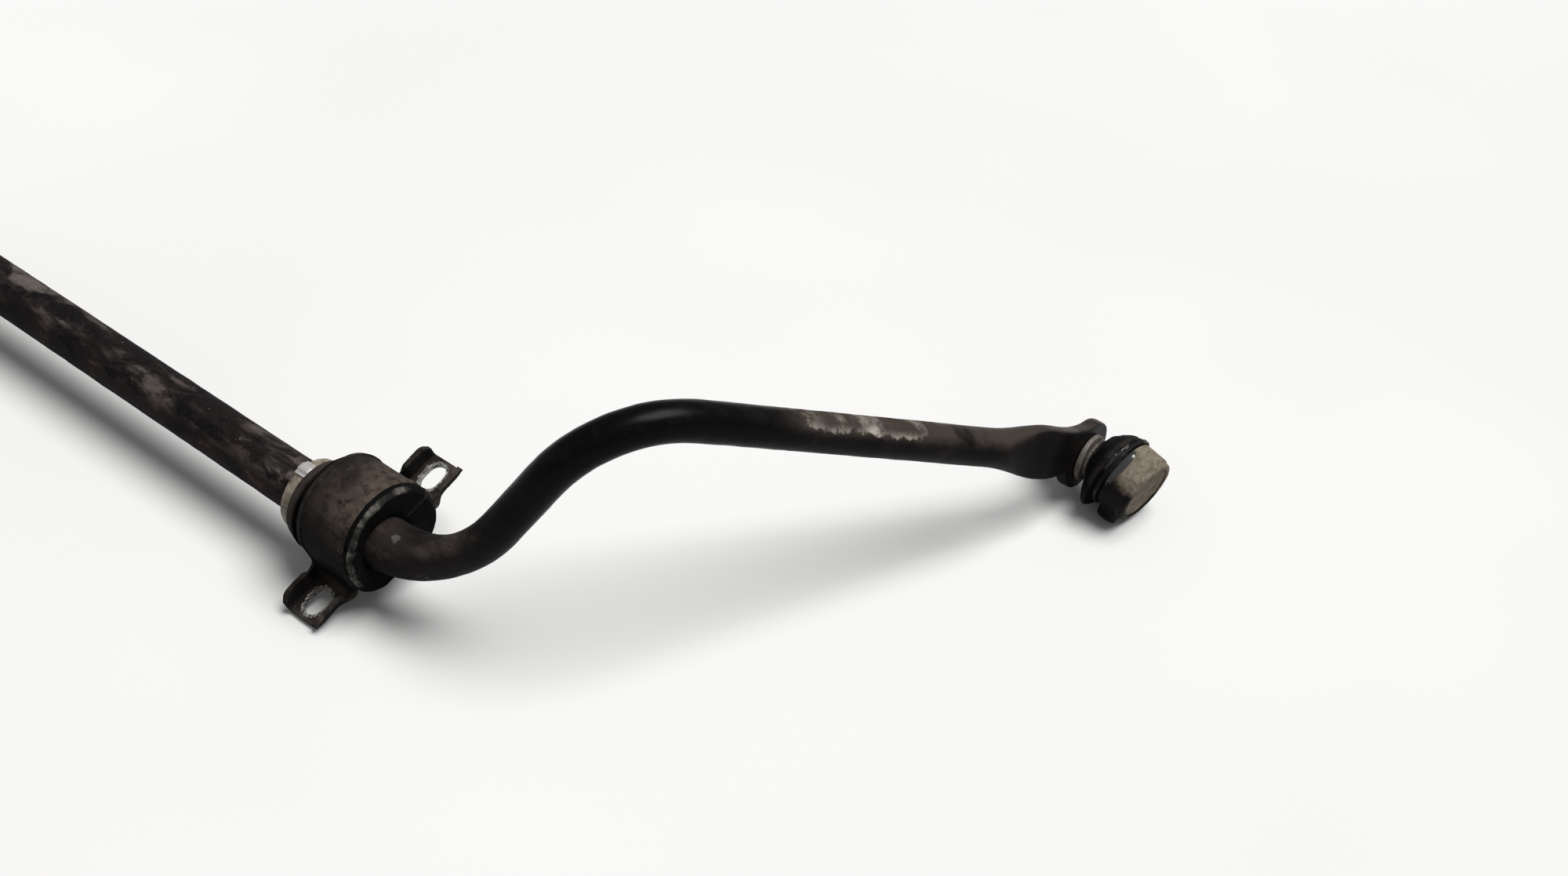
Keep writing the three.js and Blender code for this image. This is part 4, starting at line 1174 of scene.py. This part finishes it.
# Painted shade: strongest on the side towards the link's neck, weaker beside the boot.
def oily_underside(place):
    near_boot = 1 - ramp(place.x, HOUSING_SHOULDER, HOUSING_SHOULDER + 9)
    beside_boot = 0.45 * near_boot * ramp(towards_stub(place), -0.9, 0)
    return max(ramp(towards_stub(place), -0.35, 0.55), beside_boot)


# Where the grease, with its painted sheen and groove shade, lies on the housing beside the boot.
def grease_by_boot(place):
    _, angle = polar(place.y, place.z)
    near_boot = 1 - ramp(place.x, HOUSING_SHOULDER + 2, HOUSING_SHOULDER + 7)
    return near_boot * hump(angle, 128, 34)


def housing_shape():
    """Cup with a shoulder and a rolled end; the sawn stub of the link grows from it."""
    outline = [
        (HOUSING_MOUTH, HOUSING_OPENING, 0.3), (HOUSING_MOUTH, HOUSING_NECK, 0.5),
        (HOUSING_SHOULDER, HOUSING_NECK, 0.4), (HOUSING_SHOULDER, HOUSING_RADIUS, 1.2),
        (8.6, HOUSING_RADIUS, 0.8), (9.3, HOUSING_RADIUS - 0.75, 0.5),
        (HOUSING_END - 0.6, HOUSING_RADIUS - 1.1, 1.2), (HOUSING_END, 17.6, 0.5),
        (HOUSING_END, 16.2, 0.4), (HOUSING_END - 0.5, 15.8, 0.2),
        (HOUSING_END - 0.5, CAP_RADIUS + 0.2, 0.1), (CAP_FACE - 0.3, CAP_RADIUS + 0.2, 0.2),
        (CAP_FACE - 0.3, HOUSING_BORE, 0.2), (-5.3, HOUSING_BORE, 0.3),
        (-5.3, HOUSING_OPENING, 0.3),
    ]
    cup = turned(dense(rounded(outline), 1.4), 112)
    mesh = combined(cup, stub_shape(), "UNION")
    add_edge_masks(mesh)
    set_masks(mesh, oil=oily_underside, grease=grease_by_boot)
    return mesh


def seat_shape():
    inside = BALL_RADIUS + 0.3
    start = degrees(asin(4 / inside))
    end = degrees(acos(-5 / inside))
    return turned([(-5, 15), (8.9, 15), (8.9, 4)] + arc(0, 0, inside, start, end, 16))


def cap_shape():
    """Pressed end plate with a raised rim and a shallow dish."""
    outline = [
        (CAP_FACE, 0, 0), (CAP_FACE, CAP_RADIUS, 0.2), (CAP_FACE + 2, CAP_RADIUS, 0.4),
        (CAP_FACE + 2.2, 14.2, 0.8), (CAP_FACE + 2, 11.6, 0.8), (CAP_FACE + 1.4, 10, 0.8),
        (CAP_FACE + 1.2, 0, 0),
    ]
    return turned(rounded(outline, closed=False), 112, closed=False)


# ---- put together

# Node, shape, place, body, slot, and unevenness as (amount, size) in metres.
PIECES = [
    ("rubber_bushing", bushing_shape, "bushing", "bracket", "bushing_rubber", (0.00022, 0.006)),
    ("saddle_bracket", bracket_shape, "bushing", "bracket", "bracket_paint", (0.00014, 0.009)),
    ("stop_collar", collar_shape, "collar", "bar", "collar_plastic", (0.0001, 0.004)),
    ("collar_clip", clip_shape, "collar", "bar", "clip_zinc", None),
    ("ball_stud", stud_shape, "ball", "bar", "stud_zinc", None),
    ("flange_nut", nut_shape, "ball", "bar", "stud_zinc", None),
    ("stud_washer", washer_shape, "ball", "bar", "washer_zinc", (0.00006, 0.004)),
    ("boot_ring", wire_ring_shape, "ball", "boot_ring", "ring_steel", None),
    ("boot_clamp", clamp_shape, "housing", "link_end", "ring_steel", (0.00004, 0.005)),
    ("joint_housing", housing_shape, "housing", "link_end", "housing_zinc", (0.0002, 0.005)),
    ("ball_seat", seat_shape, "housing", "link_end", "seat_plastic", None),
    ("end_cap", cap_shape, "housing", "link_end", "housing_zinc", (0.00015, 0.004)),
]
BAR_UNEVENNESS = (0.00014, 0.012, 3)
BOOT_UNEVENNESS = (0.00035, 0.007)


def build_side(side_name, shapes, boot_form, finishes):
    places = {
        "bushing": bracket_place(side_name),
        "collar": bracket_place(side_name, -CLIP_TURN),
        "ball": ball_place(side_name),
        "housing": ball_place(side_name, JOINT_TILT),
    }
    seed = list(SIDES).index(side_name) + 1
    for node, _, place, body, slot, unevenness in PIECES:
        rides_on = body if body == "bar" else f"{side_name}_{body}"
        uneven = (*unevenness, seed) if unevenness else None
        full = f"{node}_{side_name}"
        add_piece(full, shapes[node], places[place], rides_on, finishes[slot], uneven)
    slot = "boot_rubber"
    full = f"dust_boot_{side_name}"
    uneven = (*BOOT_UNEVENNESS, seed)
    boot = add_piece(full, boot_form, places["ball"], None, finishes[slot], uneven, crisp=60)
    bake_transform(boot)


def build_part():
    finishes = {
        "bar_coating": bar_coating(),
        "bracket_paint": bracket_paint(),
        "bushing_rubber": bushing_rubber(),
        "collar_plastic": collar_plastic(),
        "boot_rubber": boot_rubber(),
        "housing_zinc": housing_zinc(),
        "seat_plastic": seat_plastic(),
    }
    plating = [
        ("clip_zinc", (0.42, 0.41, 0.39), (0.09, 0.085, 0.075), 0.6, 0.38, 0.5),
        ("stud_zinc", (0.2, 0.185, 0.16), (0.035, 0.026, 0.018), 0.46, 0.38, 0.9),
        ("washer_zinc", (0.15, 0.136, 0.12), (0.07, 0.06, 0.05), 0.45, 0.55, 0.3),
        # Painted shade: the clamp and wire ring are near black, standing for the dark groove between
        # boot and housing.
        ("ring_steel", (0.005, 0.0052, 0.0055), (0.002, 0.0021, 0.0022), 0.42, 0.3, 0.2),
    ]
    for name, *look in plating:
        finishes[name] = plated_steel(name, *look)
    middle = Vector((0, SWIVEL.y, SWIVEL.z))
    slot = "bar_coating"
    add_piece(
        "stabilizer_bar", bar_shape(), placed(middle), "bar", finishes[slot], BAR_UNEVENNESS
    )
    shapes = {node: make_shape() for node, make_shape, *_ in PIECES}
    boot_form = boot_shape()
    for side_name in SIDES:
        build_side(side_name, shapes, boot_form, finishes)


# ---- stage

FLOOR_HALF, FLOOR_DROP = 40.0, 0.0005
TOWARDS_LIGHT = Vector((0.27, 0.2, 0.94))
LIGHT_STRENGTH, LIGHT_SPREAD = 5.0, 38
SURROUND_STRENGTH = 0.35
CAMERA_OFFSET = Vector((0.5735, -0.4571, 0.6674))
CAMERA_AZIMUTH, CAMERA_DIP, CAMERA_ROLL = 35.14, 39.87, 5.04
LENS, SENSOR = 45, 36


def build_floor():
    signs = [(-1, -1), (1, -1), (1, 1), (-1, 1)]
    mesh = raw_mesh([(x * FLOOR_HALF, y * FLOOR_HALF, 0) for x, y in signs], [(0, 1, 2, 3)])
    mesh.materials.append(floor_paper())
    floor = new_object("floor", mesh)
    floor.location.z = -FLOOR_DROP


def build_lights():
    """One broad overhead source and an even, dimmer surround."""
    world = bpy.data.worlds.new("studio")
    bpy.context.scene.world = world
    world.use_nodes = True
    background = world.node_tree.nodes["Background"]
    background.inputs["Color"].default_value = (1, 1, 1, 1)
    background.inputs["Strength"].default_value = SURROUND_STRENGTH
    lamp = bpy.data.lights.new("overhead", "SUN")
    lamp.energy = LIGHT_STRENGTH
    lamp.angle = radians(LIGHT_SPREAD)
    holder = new_object("overhead", lamp)
    holder.rotation_euler = TOWARDS_LIGHT.to_track_quat("Z", "Y").to_euler()


def build_camera():
    """Looks down at the right-hand bracket from the front, turned and slightly rolled."""
    data = bpy.data.cameras.new("camera")
    data.sensor_width = SENSOR
    data.lens = LENS
    data.clip_start = 0.02
    camera = new_object("camera", data)
    camera.location = SWIVEL + CAMERA_OFFSET
    look = Matrix.Identity(4)
    for angle, axis in ((CAMERA_AZIMUTH, "Z"), (90 - CAMERA_DIP, "X"), (CAMERA_ROLL, "Z")):
        look = look @ Matrix.Rotation(radians(angle), 4, axis)
    camera.rotation_euler = look.to_euler()
    bpy.context.scene.camera = camera
    bpy.context.scene.view_settings.view_transform = "Standard"


build_camera()
build_part()
build_floor()
build_lights()
